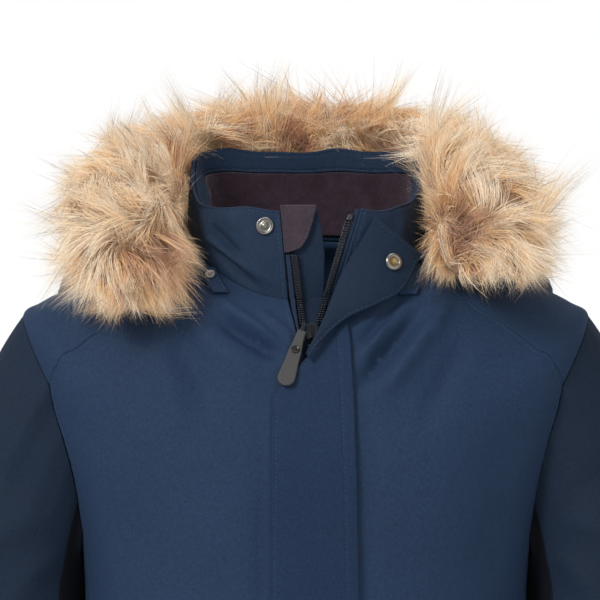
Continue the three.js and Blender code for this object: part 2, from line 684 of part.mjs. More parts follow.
// Slider with two ears and a pin, and the pull tab that turns on the pin.
const HINGE = { x: -1.4, z: -20.5, out: 5.4 };
const TAB_END = { x: -17, z: -67, out: 8.9 };
const TAB = { top: 5, length: 50, topWidth: 6.4, width: 12.8, thickness: 2.4, eyeAt: 21, eyeRadius: 2.4 };
const TONGUE_WIDTH = 3;
const EAR = { thickness: 1.4, radius: 2.2, gap: 0.35 };
const PIN_RADIUS = 0.7;
const BARREL_RADIUS = 1.8;
const SLIDER = { x: 3.8, z: -23.8, width: 9.6, length: 12.6, low: -2.6, high: 2.3 };
const hinge = frontView(HINGE.x, HINGE.z, HINGE.out);
const tabWay = frontView(TAB_END.x, TAB_END.z, TAB_END.out).sub(hinge).normalize();
const hingeNormal = frontView(HINGE.x, HINGE.z, HINGE.out + 1).sub(hinge);
const hingeAxis = tabWay.clone().cross(hingeNormal).normalize();
const tabNormal = hingeAxis.clone().cross(tabWay).normalize();
const placed = (geometry, x, y, z, origin) => {
  const turn = new THREE.Matrix4().makeBasis(x, y, z);
  return geometry.applyMatrix4(turn).translate(...origin.toArray());
};
const extruded = (shape, depth, segments) => {
  const raw = new THREE.ExtrudeGeometry(shape, { depth, bevelEnabled: false, curveSegments: segments });
  raw.deleteAttribute("normal");
  raw.deleteAttribute("uv");
  return mergeVertices(raw, 1e-4).translate(0, 0, -depth / 2);
};
const rectangle = (x0, y0, x1, y1) => {
  const shape = new THREE.Shape();
  shape.moveTo(x0, y0).lineTo(x1, y0).lineTo(x1, y1).lineTo(x0, y1).closePath();
  return shape;
};
const circle = (x, y, radius) => {
  const shape = new THREE.Shape();
  shape.absarc(x, y, radius, 0, 2 * Math.PI, false);
  return shape;
};
const onTab = (shape, depth, segments = 5) =>
  placed(extruded(shape, depth, segments), hingeAxis, tabWay, tabNormal, hinge);
const acrossHinge = (radius, width, offset) => {
  const geometry = extruded(circle(0, 0, radius), width, 8).translate(0, 0, offset);
  return solidOf(placed(geometry, tabWay, tabNormal, hingeAxis, hinge));
};
const tabShape = () => {
  const half = TAB.width / 2;
  const round = TAB.length - half;
  const shape = new THREE.Shape();
  shape.moveTo(-TAB.topWidth / 2, TAB.top).lineTo(TAB.topWidth / 2, TAB.top).lineTo(half, round);
  shape.absarc(0, round, half, 0, Math.PI, false);
  shape.closePath();
  shape.holes.push(circle(0, TAB.eyeAt, TAB.eyeRadius));
  return shape;
};
const tongue = rectangle(-TONGUE_WIDTH / 2, 0, TONGUE_WIDTH / 2, TAB.top + 1);
const pullTab = solidOf(onTab(tabShape(), TAB.thickness))
  .add(solidOf(onTab(tongue, TAB.thickness)))
  .add(acrossHinge(BARREL_RADIUS, TONGUE_WIDTH, 0))
  .subtract(acrossHinge(PIN_RADIUS + EAR.gap, TONGUE_WIDTH + 1, 0));
add("pull_tab", geometryOf(pullTab), RUBBER);

// Rivet through the tab's eye, with a head on each side.
const RIVET = { head: 3.1, shank: 2.1, rise: 0.7, gap: 0.12 };
const rivetFace = TAB.thickness / 2 + RIVET.gap;
const rivetTop = rivetFace + RIVET.rise;
const rivetProfile = [
  [0, -rivetTop], [RIVET.head, -rivetTop], [RIVET.head, -rivetFace], [RIVET.shank, -rivetFace],
  [RIVET.shank, rivetFace], [RIVET.head, rivetFace], [RIVET.head, rivetTop], [0, rivetTop],
];
const rivet = lathe(rivetProfile);
const rivetPlace = hinge.clone().addScaledVector(tabWay, TAB.eyeAt);
add("pull_rivet", placed(rivet, tabWay, tabNormal, tabWay.clone().cross(tabNormal), rivetPlace), ZIP);

const sliderFoot = frontView(SLIDER.x, SLIDER.z, (SLIDER.low + SLIDER.high) / 2);
const sliderNormal = frontView(SLIDER.x, SLIDER.z, 1 + (SLIDER.low + SLIDER.high) / 2).sub(sliderFoot);
const sliderWay = vec(1, 0, 0).cross(sliderNormal).normalize();
const sliderShape = new THREE.Shape();
const [halfWidth, halfLength] = [SLIDER.width / 2, SLIDER.length / 2];
sliderShape.moveTo(-halfWidth, -halfLength * 0.6).lineTo(-halfWidth * 0.6, -halfLength);
sliderShape.lineTo(halfWidth * 0.6, -halfLength).lineTo(halfWidth, -halfLength * 0.6);
sliderShape.lineTo(halfWidth * 0.62, halfLength).lineTo(-halfWidth * 0.62, halfLength).closePath();
const sliderBody = extruded(sliderShape, SLIDER.high - SLIDER.low, 4);
const earAt = (TONGUE_WIDTH + EAR.thickness) / 2 + EAR.gap;
const earReach = earAt + EAR.thickness / 2;
const plate = rectangle(-earReach, -EAR.radius, earReach, EAR.radius);
const plateDepth = 1.2;
const plateHeight = SLIDER.high - HINGE.out - plateDepth / 2;
const plateGeometry = extruded(plate, plateDepth, 4).translate(0, 0, plateHeight);
const earPost = (offset) => {
  const [from, to] = [offset - EAR.thickness / 2, offset + EAR.thickness / 2];
  const height = HINGE.out - SLIDER.high + plateDepth / 2;
  const post = rectangle(from, -EAR.radius, to, EAR.radius);
  const geometry = extruded(post, height, 4).translate(0, 0, -height / 2);
  return solidOf(placed(geometry, hingeAxis, tabWay, tabNormal, hinge));
};
let slider = solidOf(placed(sliderBody, vec(1, 0, 0), sliderWay, sliderNormal.clone().negate(), sliderFoot));
slider = slider.add(solidOf(placed(plateGeometry, hingeAxis, tabWay, tabNormal, hinge)));
for (const offset of [-earAt, earAt]) {
  slider = slider.add(acrossHinge(EAR.radius, EAR.thickness, offset)).add(earPost(offset));
}
slider = slider.add(acrossHinge(PIN_RADIUS, 2 * earReach - 0.2, 0));
add("slider", geometryOf(slider), ZIP);

// Fur trim: a solid of its reach, from the left lobe's end round behind the collar.
const FUR_COLUMNS = ["x", "y", "z", "across", "height"];
const FUR_PATH = [
  [122, -86, 0, 26, 18],
  [129, -74, 34, 52, 44],
  [134, -44, 70, 58, 60],
  [124, 4, 95, 55, 54],
  [98, 46, 108, 47, 47],
  [54, 78, 116, 42, 44],
  [0, 92, 119, 41, 44],
];
const FUR_TIP = vec(-2, -6, -18);
const FUR_SIDES = 14;
const FUR_STEPS = 9;
const furAt = (at) => {
  const last = FUR_PATH.length - 1;
  const mirror = at > last ? -1 : 1;
  const where = at > last ? 2 * last - at : at;
  const value = (name) => read(FUR_PATH, FUR_COLUMNS, name, where);
  const centre = vec(mirror * value("x"), value("y"), value("z"));
  return { centre, across: value("across"), height: value("height") };
};
const furWay = (at) => furAt(at + STEP).centre.sub(furAt(at - STEP).centre).normalize();
const furRing = (at, grow) => {
  const { centre, across, height } = furAt(at);
  const way = furWay(at);
  const side = way.clone().cross(vec(0, 0, 1)).normalize();
  const up = side.clone().cross(way).normalize();
  return Array.from({ length: FUR_SIDES }, (_, i) => {
    const angle = (2 * Math.PI * i) / FUR_SIDES;
    const point = centre.clone().addScaledVector(side, (across + grow) * Math.cos(angle));
    return point.addScaledVector(up, (height + grow) * Math.sin(angle));
  });
};
const furSolid = (grow) => {
  const end = 2 * (FUR_PATH.length - 1);
  const count = 2 * FUR_STEPS;
  const rings = Array.from({ length: count + 1 }, (_, i) => furRing((end * i) / count, grow));
  const tip = furAt(0).centre.add(FUR_TIP).add(vec(0, 0, -grow));
  return solidOf(loft(rings, tip, vec(-tip.x, tip.y, tip.z)));
};

// Closed volumes that the fur and hood keep clear of.
const FUR_CLEAR = 1.5;
const TURNED_CLEAR = 0.6;
const volume = (surface, from, to, rings, count, out) => {
  const ring = (at) => Array.from({ length: count }, (_, i) => surface((2 * Math.PI * i) / count, at, out));
  const all = Array.from({ length: rings + 1 }, (_, i) => ring(mix(from, to, i / rings)));
  const middle = (points) => points.reduce((sum, p) => sum.add(p), vec(0, 0, 0)).divideScalar(count);
  return solidOf(loft(all, middle(all[0]), middle(all.at(-1))));
};
const BODY_CLEAR_SIDES = 32;
const COLLAR_CLEAR_SIDES = 60;
const bodyVolume = volume(body, -0.2, 9, 12, BODY_CLEAR_SIDES, FUR_CLEAR);
const collarVolume = volume(collar, -0.1, 1.16, 4, COLLAR_CLEAR_SIDES, FUR_CLEAR);
const turnedGrown = (u, v, out) => turned(mix(-0.02, 1.02, u), v * 1.01, out);
const clearTurned = solidOf(wall(turnedGrown, 4, 12, TURNED_CLEAR, SHELL + 2 * TURNED_CLEAR));

// Hood: a bag that hangs folded back, from the neck seam down the back and up again to the fur.
const HOOD_FROM = 62;
const HOOD_SHELL = 2.4;
const HOOD_COLUMNS = ["down", "share", "out"];
const HOOD_PROFILE = [
  [0.12, 0, 4],
  [0.38, 0, 4.2],
  [0.7, 0, 4.4],
  [0.94, 0, 5],
  [1.07, 0, 10],
  [1.06, 0, 20],
  [0.93, 0.12, 32],
  [0.66, 0.4, 42],
  [0.4, 0.72, 40],
  [0.3, 1, 36],
];
const HOOD_RIM = { out: 0.55, down: 0.4 }; // shares of the fur's reach from its middle
const hoodDepth = (around) => {
  const back = Math.max(-Math.cos(around), 0);
  return mix(1.3, 4.5, back ** 0.8);
};
const furStart = degrees(48);
const furNear = (around) => {
  const way = (around - furStart) / (2 * Math.PI - 2 * furStart);
  return furAt(2 * (FUR_PATH.length - 1) * THREE.MathUtils.clamp(way, 0, 1));
};
const hoodSurface = (around, v) => {
  const at = (name) => read(HOOD_PROFILE, HOOD_COLUMNS, name, v * (HOOD_PROFILE.length - 1));
  const side = (1 + Math.cos(2 * around)) / 2;
  const foot = body(around, at("down") * hoodDepth(around), mix(at("out") * 0.55 + 2, at("out"), side));
  const rim = furNear(around);
  const outward = vec(rim.centre.x, rim.centre.y, 0).normalize();
  const target = rim.centre.clone().addScaledVector(outward, rim.across * HOOD_RIM.out);
  target.z -= rim.height * HOOD_RIM.down;
  return foot.lerp(target, THREE.MathUtils.clamp(at("share"), 0, 1));
};
const hoodOut = movedOut(hoodSurface, -1);
const hoodPatch = (from, to) => (u, v, out) => hoodOut(mix(degrees(from), degrees(to), u), v, out);
const furTrim = furSolid(0).subtract(bodyVolume).subtract(collarVolume).subtract(clearTurned);
const clearOfFur = furSolid(0.5);
const hoodPiece = (from, to, columns) => {
  const shell = wall(trimmed(hoodPatch(from, to)), columns, HOOD_ROWS, HOOD_SHELL / 2, HOOD_SHELL);
  return solidOf(shell).subtract(clearOfFur);
};
const CENTRE_STRIP = 22;
add("fur_trim", geometryOf(furTrim), FUR);
add("hood_left", geometryOf(hoodPiece(HOOD_FROM, 180 - CENTRE_STRIP, HOOD_SIDE_FACETS)), NAVY);
add("hood_centre", geometryOf(hoodPiece(180 - CENTRE_STRIP, 180 + CENTRE_STRIP, HOOD_CENTRE_FACETS)), NAVY);
add("hood_right", geometryOf(hoodPiece(180 + CENTRE_STRIP, 360 - HOOD_FROM, HOOD_SIDE_FACETS)), NAVY);

export default snowsuit;
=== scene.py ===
"""A child's snowsuit with a fur-trimmed hood: its cloth, fur, zip and snaps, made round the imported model.

Forms are worked out in millimetres and become metres as each mesh is made. +Z is up, -Y is the front.
"""

import json
import math
from itertools import product

import bpy
import numpy as np
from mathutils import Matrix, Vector
from mathutils.kdtree import KDTree


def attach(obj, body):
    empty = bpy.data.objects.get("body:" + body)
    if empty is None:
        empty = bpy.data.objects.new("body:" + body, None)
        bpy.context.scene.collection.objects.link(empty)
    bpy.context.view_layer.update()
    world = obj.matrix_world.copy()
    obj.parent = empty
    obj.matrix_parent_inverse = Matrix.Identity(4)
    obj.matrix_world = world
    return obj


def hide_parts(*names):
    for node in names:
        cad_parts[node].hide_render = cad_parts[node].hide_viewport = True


bl_info = {
    "name": "Fur-trimmed snowsuit",
    "version": (1, 0, 0),
    "blender": (4, 5, 0),
    "location": "View3D > Sidebar > Snowsuit",
    "description": "Makes a child's snowsuit piece by piece, and the stage it is seen on",
    "category": "Add Mesh",
}

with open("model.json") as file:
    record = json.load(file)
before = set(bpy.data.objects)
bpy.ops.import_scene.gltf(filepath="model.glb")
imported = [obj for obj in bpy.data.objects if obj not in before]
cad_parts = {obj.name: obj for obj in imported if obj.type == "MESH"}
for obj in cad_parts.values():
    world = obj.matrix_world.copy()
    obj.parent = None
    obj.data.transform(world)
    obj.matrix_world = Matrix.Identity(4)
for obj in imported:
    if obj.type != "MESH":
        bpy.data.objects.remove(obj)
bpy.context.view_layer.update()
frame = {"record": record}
MM = 0.001
GARMENT = "garment"
PULL = "pull"
JOINT = frame["record"]["behaviour"]["joints"][0]

# ---------------------------------------------------------------- sizes of the cut

# Half width, side height, front depth and height, back depth and height of each ring of the body.
BODY = np.array([
    [84, 38, 62, 0, 54, 46],
    [120, 29, 78, -22, 76, 26],
    [163, 14, 92, -52, 95, -6],
    [196, -1, 100, -84, 104, -44],
    [211, -16, 105, -115, 108, -84],
    [199, -72, 107, -150, 109, -130],
    [175, -140, 109, -195, 109, -185],
    [165, -200, 110, -235, 108, -230],
    [164, -270, 110, -285, 106, -280],
    [161, -350, 108, -355, 103, -355],
    [160, -425, 109, -425, 105, -425],
    [164, -495, 112, -495, 113, -495],
    [166, -560, 114, -560, 118, -560],
], float)
SQUARENESS = 2.2
HEM_ROW = len(BODY) - 1

# The seam from the neck over the shoulder and down the armhole: x and z from the front.
FRONT_SEAM = [
    (102, 12), (125, -5), (150, -22), (168, -36), (181, -48), (187, -62),
    (184, -79), (178, -98), (172, -120), (168, -140), (166, -158), (163.5, -176),
]
NECK_SEAM_ANGLE = math.radians(68)
SIDE_SEAM_ANGLE = math.radians(74)
CORNER = 6
SLEEVE_SEAM_RISE = 0.72
LOWER_ROWS = [7.4, 8.4, 9.5, 10.5, 11.3, HEM_ROW]

# Height, and the x of the right and left front edges beside the zip.
EDGES = np.array([
    [70, -19, 41], [35, -16, 30.5], [0, -13, 19.5], [-26, -6, 13.5], [-60, -5, 12.5],
    [-600, -5, 12.5],
], float)

# Centre x, y, z, half width and half depth of each ring of the sleeve.
SLEEVE = np.array([
    [216, 4, -200, 54, 58],
    [224, 1, -250, 57, 55],
    [240, -5, -300, 52, 51],
    [260, -14, -346, 42, 47],
    [271, -25, -390, 40, 43],
], float)
CAP_SHARE, CAP_PULL, SLEEVE_GAP = 0.45, 1.1, 0.05
CAP_TOP_WAY, CAP_UNDER_WAY = np.array([0.6, 0, -0.8]), np.array([0.2, 0, -1])
UNDER_FROM = 0.37

# Height, centre x, half width, front depth and back depth of each ring of the leg.
LEG = np.array([
    [-560, 0, 166, 114, 118],
    [-590, 45, 121, 112, 119],
    [-612, 68, 98.4, 108, 116],
    [-640, 83.8, 83.4, 102, 110],
    [-700, 91, 80, 94, 98],
    [-780, 98, 75, 85, 88],
    [-860, 103, 71, 79, 81],
    [-950, 107, 68, 73, 75],
    [-1040, 110, 66, 69, 71],
], float)

COLLAR_HALF_WIDTH, COLLAR_FRONT_Y, COLLAR_BACK_Y = 86, 60, 58
COLLAR_FRONT_Z, COLLAR_BACK_RISE, COLLAR_BULGE, FACING_FROM = 67, 47, 3, 0.76
COLLAR_RISE_FROM, COLLAR_RISE_TO = 0.15, 0.82
COLLAR_TAPER, COLLAR_TAPER_AT = 11, 0.75
COLLAR_SQUARENESS = 3.2

# The turned-over end of the storm flap: x, y, z of its fold and of its free edge.
TURNED = np.array([
    [0, -95.5, -38, 2, -97, -42.5],
    [8, -90.5, -25, 9.6, -92.5, -30],
    [21, -70, 6, 29, -80, -14],
    [28, -66.5, 22, 50, -74, -4],
    [38, -65, 39, 69, -66, 7],
    [50, -60, 60, 83, -52, 33],
], float)
TURNED_BULGE = 3

# The fur's path: centre x, y, z, and its reach across and up.
FUR_PATH = np.array([
    [122, -86, 0, 26, 18],
    [129, -74, 34, 52, 44],
    [134, -44, 70, 58, 60],
    [124, 4, 95, 55, 54],
    [98, 46, 108, 47, 47],
    [54, 78, 116, 42, 44],
    [0, 92, 119, 41, 44],
], float)

# The hood's section: how far down its depth, how far on to the fur, and how far out.
HOOD_PROFILE = np.array([
    [0.12, 0, 4], [0.38, 0, 4.2], [0.7, 0, 4.4], [0.94, 0, 5], [1.07, 0, 10],
    [1.06, 0, 20], [0.93, 0.12, 32], [0.66, 0.4, 42], [0.4, 0.72, 40], [0.3, 1, 36],
], float)
HOOD_FROM, CENTRE_STRIP = 62, 22

SHELL = 3.0

# Soft folds of the front and back, from (x, z) to (x, z), with half width and height; a trough is below 0.
FRONT_FOLDS = [
    (-66, 0, -18, -32, 4.4, 7.0), (-66, -13, -16, -43, 5.6, -7.6), (-34, -8, -6, -30, 3.2, 4.0),
    (-84, -16, -30, -62, 8, 4.2), (-96, -14, -64, -84, 10, -4.4), (-108, -30, -88, -100, 10, 3.4),
    (86, -4, 37, -64, 6, -8.4), (98, -10, 52, -70, 7, 6.6), (68, 2, 38, -34, 4.4, -4.6),
    (60, -14, 38, -44, 4, 3.6), (104, 0, 92, -26, 5, 3.4), (118, -22, 84, -88, 9, -3.6),
    (-31, -76, -30, -540, 6.5, -3.2), (44, -60, 44, -300, 8, -1.6),
    (-150, -60, -120, -210, 26, -2.5), (150, -70, 128, -215, 24, -2.4),
    (-160, -105, -140, -220, 12, 2.0), (168, -95, 148, -215, 12, 2.2),
    (-95, -60, -60, -190, 34, 1.8), (110, -60, 84, -190, 32, 2.0), (-120, -330, -40, -350, 14, 2.5),
    (125, -340, 50, -362, 14, 2.5), (-100, -400, 100, -412, 13, -2.2),
    (-130, -450, -50, -470, 16, 2), (130, -455, 60, -480, 16, 2), (-90, -520, -30, -545, 13, -2),
    (95, -515, 30, -545, 13, -2),
]
BACK_FOLDS = [
    (-140, -120, -70, -240, 15, 4.2), (142, -125, 76, -250, 15, 4.2),
    (-128, -150, -64, -262, 10, -3.4), (130, -158, 70, -270, 10, -3.4),
    (-60, -180, 60, -190, 22, 1.5), (-120, -340, 110, -356, 13, 5),
    (-110, -392, 115, -402, 11, -4.6), (-100, -430, 40, -440, 12, 2.4),
    (-120, -480, -30, -550, 18, 2.2), (120, -480, 30, -550, 18, 2.2),
    (-150, -250, -130, -420, 18, -2), (150, -250, 130, -420, 18, -2),
]


def mix(a, b, t):
    return a + (b - a) * t


def read(table, at):
    """All columns of a table at row positions, on a smooth curve through its rows."""
    at = np.asarray(at, float)
    last = len(table) - 1
    i = np.clip(np.floor(at).astype(int), 0, last - 1)
    f = (at - i)[..., None]
    ends = np.vstack([2 * table[0] - table[1], table, 2 * table[-1] - table[-2]])
    a, b, c, d = ends[i], ends[i + 1], ends[i + 2], ends[np.minimum(i + 3, last + 2)]
    return b + 0.5 * f * (c - a + f * (2 * a - 5 * b + 4 * c - d + (3 * (b - c) + d - a) * f))


def between(table, at, column):
    """A column of a table whose first column falls, in straight steps that run on past its ends."""
    x, y = table[::-1, 0], table[::-1, column]
    inside = np.interp(at, x, y)
    above = y[-1] + (at - x[-1]) * (y[-1] - y[-2]) / (x[-1] - x[-2])
    return np.where(at > x[-1], above, inside)


def power(value, squareness=SQUARENESS):
    return np.sign(value) * np.abs(value) ** (2 / squareness)


def unit(v):
    return v / np.maximum(np.linalg.norm(v, axis=-1, keepdims=True), 1e-9)


def stack(*columns):
    return np.stack(np.broadcast_arrays(*[np.asarray(c, float) for c in columns]), -1)


def smooth(low, high, value):
    t = np.clip((value - low) / (high - low), 0, 1)
    return t * t * (3 - 2 * t)


def along_run(at, run, values):
    """Rows of three values read at lengths along a run."""
    return stack(*[np.interp(at, run, values[:, k]) for k in range(3)])


STEP, SOLVE_STEPS = 0.02, 40


def normal_of(surface, u, v, facing):
    du = surface(u + STEP, v) - surface(u - STEP, v)
    dv = surface(u, v + STEP) - surface(u, v - STEP)
    return unit(np.cross(du, dv)) * facing


def ridges(p, folds):
    """How far folds lift points: each is a soft ridge that fades towards its ends."""
    lift = np.zeros(p.shape[:-1])
    for x0, z0, x1, z1, wide, high in folds:
        a, way = np.array([x0, z0]), np.array([x1 - x0, z1 - z0], float)
        rest = p[..., [0, 2]] - a
        along = (rest @ way) / (way @ way)
        off = np.abs(rest[..., 0] * way[1] - rest[..., 1] * way[0]) / np.linalg.norm(way)
        fade = np.exp(-((along - 0.5) / 0.42) ** 4)
        lift += high * fade * np.exp(-((off / wide) ** 2))
    return lift


def body_surface(around, row):
    a, side_z, front_y, front_z, back_y, back_z = np.moveaxis(read(BODY, row), -1, 0)
    c = np.cos(around)
    front = c > 0
    z = mix(side_z, np.where(front, front_z, back_z), c * c)
    return stack(a * power(np.sin(around)), -np.where(front, front_y, back_y) * power(c), z)


def body(around, row, out):
    p = body_surface(around, row)
    lift = np.where(np.cos(around) > 0, ridges(p, FRONT_FOLDS), ridges(p, BACK_FOLDS))
    n = normal_of(body_surface, around, row, -1)
    return p + n * (np.asarray(out) + lift)[..., None]


def collar_surface(around, height):
    foot = body_surface(around, np.zeros_like(np.asarray(around, float)))
    c, s = np.cos(around), np.sin(around)
    depth = np.where(c > 0, COLLAR_FRONT_Y, COLLAR_BACK_Y)
    grow = (np.abs(s) ** COLLAR_SQUARENESS + np.abs(c) ** COLLAR_SQUARENESS) ** (-1 / COLLAR_SQUARENESS)
    rise = COLLAR_BACK_RISE * smooth(COLLAR_RISE_FROM, COLLAR_RISE_TO, (1 - c) / 2)
    half = COLLAR_HALF_WIDTH - COLLAR_TAPER * smooth(0, COLLAR_TAPER_AT, c)
    top = stack(half * s * grow, -depth * c * grow, COLLAR_FRONT_Z + rise)
    out = unit(foot * [1, 1, 0]) * (COLLAR_BULGE * np.sin(math.pi * np.asarray(height, float)))[..., None]
    return mix(foot, top, np.asarray(height, float)[..., None]) + out


def place_at(surface, x, z, around, row):
    """Where on a surface a point shows at x, z from the front."""
    for _ in range(SOLVE_STEPS):
        p = surface(around, row)
        du, dv = (surface(around + 1e-3, row) - p) * 1e3, (surface(around, row + 1e-3) - p) * 1e3
        ex, ez = x - p[..., 0], z - p[..., 2]
        det = du[..., 0] * dv[..., 2] - dv[..., 0] * du[..., 2]
        around = around + np.clip((ex * dv[..., 2] - dv[..., 0] * ez) / det, -0.1, 0.1)
        row = row + np.clip((du[..., 0] * ez - ex * du[..., 2]) / det, -0.3, 0.3)
    return around, row


def solve_seam():
    places = [(NECK_SEAM_ANGLE, 0.0)]
    for x, z in FRONT_SEAM:
        last = [np.array(value) for value in places[-1]]
        around, row = place_at(body_surface, float(x), float(z), *last)
        places.append((float(around), float(row)))
    return np.array(places)


SEAM = solve_seam()
UNDERARM, CORNER_PLACE = SEAM[-1], SEAM[CORNER]
PANEL_ROWS = np.array([*SEAM[:, 1], *LOWER_ROWS])


def seam_angle(row):
    side = mix(UNDERARM[0], SIDE_SEAM_ANGLE, np.clip(row - UNDERARM[1], 0, 1))
    return np.where(row >= UNDERARM[1], side, np.interp(row, SEAM[:, 1], SEAM[:, 0]))


def edge_angle(surface, row, side):
    """The angle where a front edge (1 the right one, 2 the left) runs, on rows of a surface."""
    row = np.asarray(row, float)
    low, high = np.full_like(row, -1.0), np.ones_like(row)
    for _ in range(SOLVE_STEPS):
        middle = (low + high) / 2
        p = surface(middle, row)
        short = p[..., 0] < between(EDGES, p[..., 2], side)
        low, high = np.where(short, middle, low), np.where(short, high, middle)
    return low


def row_from(first, v):
    rows = PANEL_ROWS[first:]
    return np.interp(v, np.linspace(0, 1, len(rows)), rows)


# ---------------------------------------------------------------- the pieces' forms


def front_view(x, z, out):
    """Points of the front that show at x, z, moved out along the form's normal."""
    x, z, out = np.broadcast_arrays(np.asarray(x, float), np.asarray(z, float), np.asarray(out, float))
    neck = (math.pi / 2) * (x / BODY[0, 0])
    foot = body_surface(np.clip(neck, -1.4, 1.4), np.zeros_like(neck))[..., 2]
    low = place_at(body_surface, x, np.minimum(z, foot), neck, np.ones_like(neck))
    high = place_at(collar_surface, x, np.maximum(z, foot), neck, np.full_like(neck, 0.5))
    below = (z < foot)[..., None]
    base = np.where(below, body_surface(*low), collar_surface(*high))
    share = smooth(-14, 14, z - foot)[..., None]
    normal = unit(mix(normal_of(body_surface, *low, -1), normal_of(collar_surface, *high, 1), share))
    lift = ridges(base, FRONT_FOLDS) * (1 - share[..., 0])
    return base + normal * (out + lift)[..., None]


def front_patch(side):
    sign = 1 if side == 2 else -1

    def patch(u, v, out):
        row = row_from(0, v)
        return body(mix(edge_angle(body_surface, row, side), sign * seam_angle(row), u), row, out)

    return patch


def back_patch(u, v, out):
    row = row_from(0, v)
    start = math.pi - seam_angle(row)
    return body(mix(start, 2 * math.pi - start, u), row, out)


def side_patch(sign):
    def patch(u, v, out):
        row = row_from(len(SEAM) - 1, v)
        start = seam_angle(row)
        return body(sign * mix(start, math.pi - start, u), row, out)

    return patch


def shoulder_patch(sign):
    def patch(u, v, out):
        at = v * CORNER
        k = np.arange(CORNER + 1)
        angle = np.interp(at, k, SEAM[: CORNER + 1, 0])
        row = np.interp(at, k, SEAM[: CORNER + 1, 1])
        rise = SLEEVE_SEAM_RISE * v * v * np.sin(math.pi * u)
        return body(sign * mix(angle, math.pi - angle, u), row - rise, out)

    return patch


def armhole_line():
    """Places round the armhole, from the shoulder's tip forwards, with their share of the way round."""
    u = np.array([0.5, 0.4, 0.3, 0.2, 0.1])
    top = stack(mix(CORNER_PLACE[0], math.pi - CORNER_PLACE[0], u),
                CORNER_PLACE[1] - SLEEVE_SEAM_RISE * np.sin(math.pi * u))
    v = np.array([0, 0.25, 0.5])
    under = stack(mix(UNDERARM[0], math.pi - UNDERARM[0], v), np.full(3, UNDERARM[1]))
    half = np.vstack([top, SEAM[CORNER:-1], under])
    other = half[1:-1][::-1] * [-1, 1] + [math.pi, 0]
    line = np.vstack([half, other, half[:1]])
    points = body_surface(line[:, 0], line[:, 1])
    way = np.concatenate([[0], np.cumsum(np.linalg.norm(np.diff(points, axis=0), axis=1))])
    return points, way / way[-1]


ARMHOLE_POINTS, ARMHOLE_SHARE = armhole_line()


def on_armhole(share):
    return along_run(share % 1, ARMHOLE_SHARE, ARMHOLE_POINTS)


def tube(share, at):
    x, y, z, wide, deep = np.moveaxis(read(SLEEVE, at), -1, 0)
    way = unit(read(SLEEVE, at + STEP)[..., :3] - read(SLEEVE, at - STEP)[..., :3])
    across = unit(stack(-way[..., 2], 0, way[..., 0]))
    angle = 2 * math.pi * share
    point = stack(x, y - deep * np.sin(angle), z) + across * (wide * np.cos(angle))[..., None]
    return point, way


def sleeve_surface(share, v):
    share, v = np.broadcast_arrays(np.asarray(share, float), np.asarray(v, float))
    lower = tube(share, np.clip((v - CAP_SHARE) / (1 - CAP_SHARE), -0.01, 1.02) * (len(SLEEVE) - 1))[0]
    under = ((1 - np.cos(2 * math.pi * share)) / 2)[..., None]
    start_way = unit(mix(CAP_TOP_WAY, CAP_UNDER_WAY, under))
    start = on_armhole(share) + start_way * SLEEVE_GAP + SLEEVE_GAP * (1 + under) * [1, 0, 0]
    end, way = tube(share, np.zeros_like(share))
    reach = np.linalg.norm(end - start, axis=-1, keepdims=True) * CAP_PULL
    t = (v / CAP_SHARE)[..., None]
    upper = (start * (2 * t**3 - 3 * t**2 + 1) + start_way * reach * (t**3 - 2 * t**2 + t)
             + end * (3 * t**2 - 2 * t**3) + way * reach * (t**3 - t**2))
    return np.where(v[..., None] > CAP_SHARE, lower, upper)


# Folds of the sleeve, from (share round, share down) to the same, with half width and height.
SLEEVE_FOLDS = [
    (0.30, 0.22, 0.12, 0.50, 0.035, 3.2), (0.36, 0.30, 0.20, 0.66, 0.030, 2.6),
    (0.26, 0.16, 0.05, 0.34, 0.03, -2.4), (0.42, 0.50, 0.10, 0.62, 0.028, 2.8),
    (0.40, 0.60, 0.14, 0.70, 0.026, -2.4), (0.44, 0.66, 0.08, 0.76, 0.03, 2.4),
    (0.60, 0.24, 0.86, 0.44, 0.035, 3.0), (0.62, 0.48, 0.92, 0.60, 0.03, 2.6),
    (0.60, 0.60, 0.94, 0.72, 0.03, -2.2), (0.20, 0.84, -0.05, 0.90, 0.028, 2.0),
    (0.70, 0.84, 0.95, 0.90, 0.028, 2.0), (-0.1, 0.2, 0.02, 0.62, 0.05, 1.6),
]


def sleeve_lift(share, v):
    lift = np.zeros_like(share)
    for s0, v0, s1, v1, wide, high in SLEEVE_FOLDS:
        for turn in (-1, 0, 1):
            rest_s, rest_v = share + turn - s0, v - v0
            way = np.array([s1 - s0, v1 - v0])
            size = math.hypot(*way)
            along = (rest_s * way[0] + rest_v * way[1]) / size**2
            off = np.abs(rest_s * way[1] - rest_v * way[0]) / size
            lift += high * np.exp(-((along - 0.5) / 0.42) ** 4) * np.exp(-((off / wide) ** 2))
    return lift * smooth(0.03, 0.15, v)


def sleeve_patch(start, end, sign):
    def patch(u, v, out):
        share = mix(start, end, u)
        n = normal_of(sleeve_surface, share, v, 1)
        p = sleeve_surface(share, v) + n * (np.asarray(out) + sleeve_lift(share, v))[..., None]
        return p * [sign, 1, 1]

    return patch


def leg_surface(around, row):
    z, centre, wide, front_y, back_y = np.moveaxis(read(LEG, row), -1, 0)
    c = np.cos(around)
    return stack(centre + wide * power(np.sin(around)), -np.where(c > 0, front_y, back_y) * power(c), z)


# Folds of the legs' fronts and backs, as on the body.
LEG_FOLDS = [
    (12, -640, 90, -610, 10, 2.4), (10, -670, 95, -650, 10, 2.2), (30, -700, 60, -800, 16, 2.0),
    (60, -770, 150, -800, 10, 3.0), (50, -800, 150, -826, 9, -2.6), (60, -830, 160, -846, 11, 3.0),
    (80, -880, 150, -900, 12, 2.0), (60, -960, 160, -972, 10, 2.6),
    (55, -990, 150, -1004, 10, -2.4), (70, -1012, 165, -1020, 8, 2.4),
]


LEG_LAP = 0.9


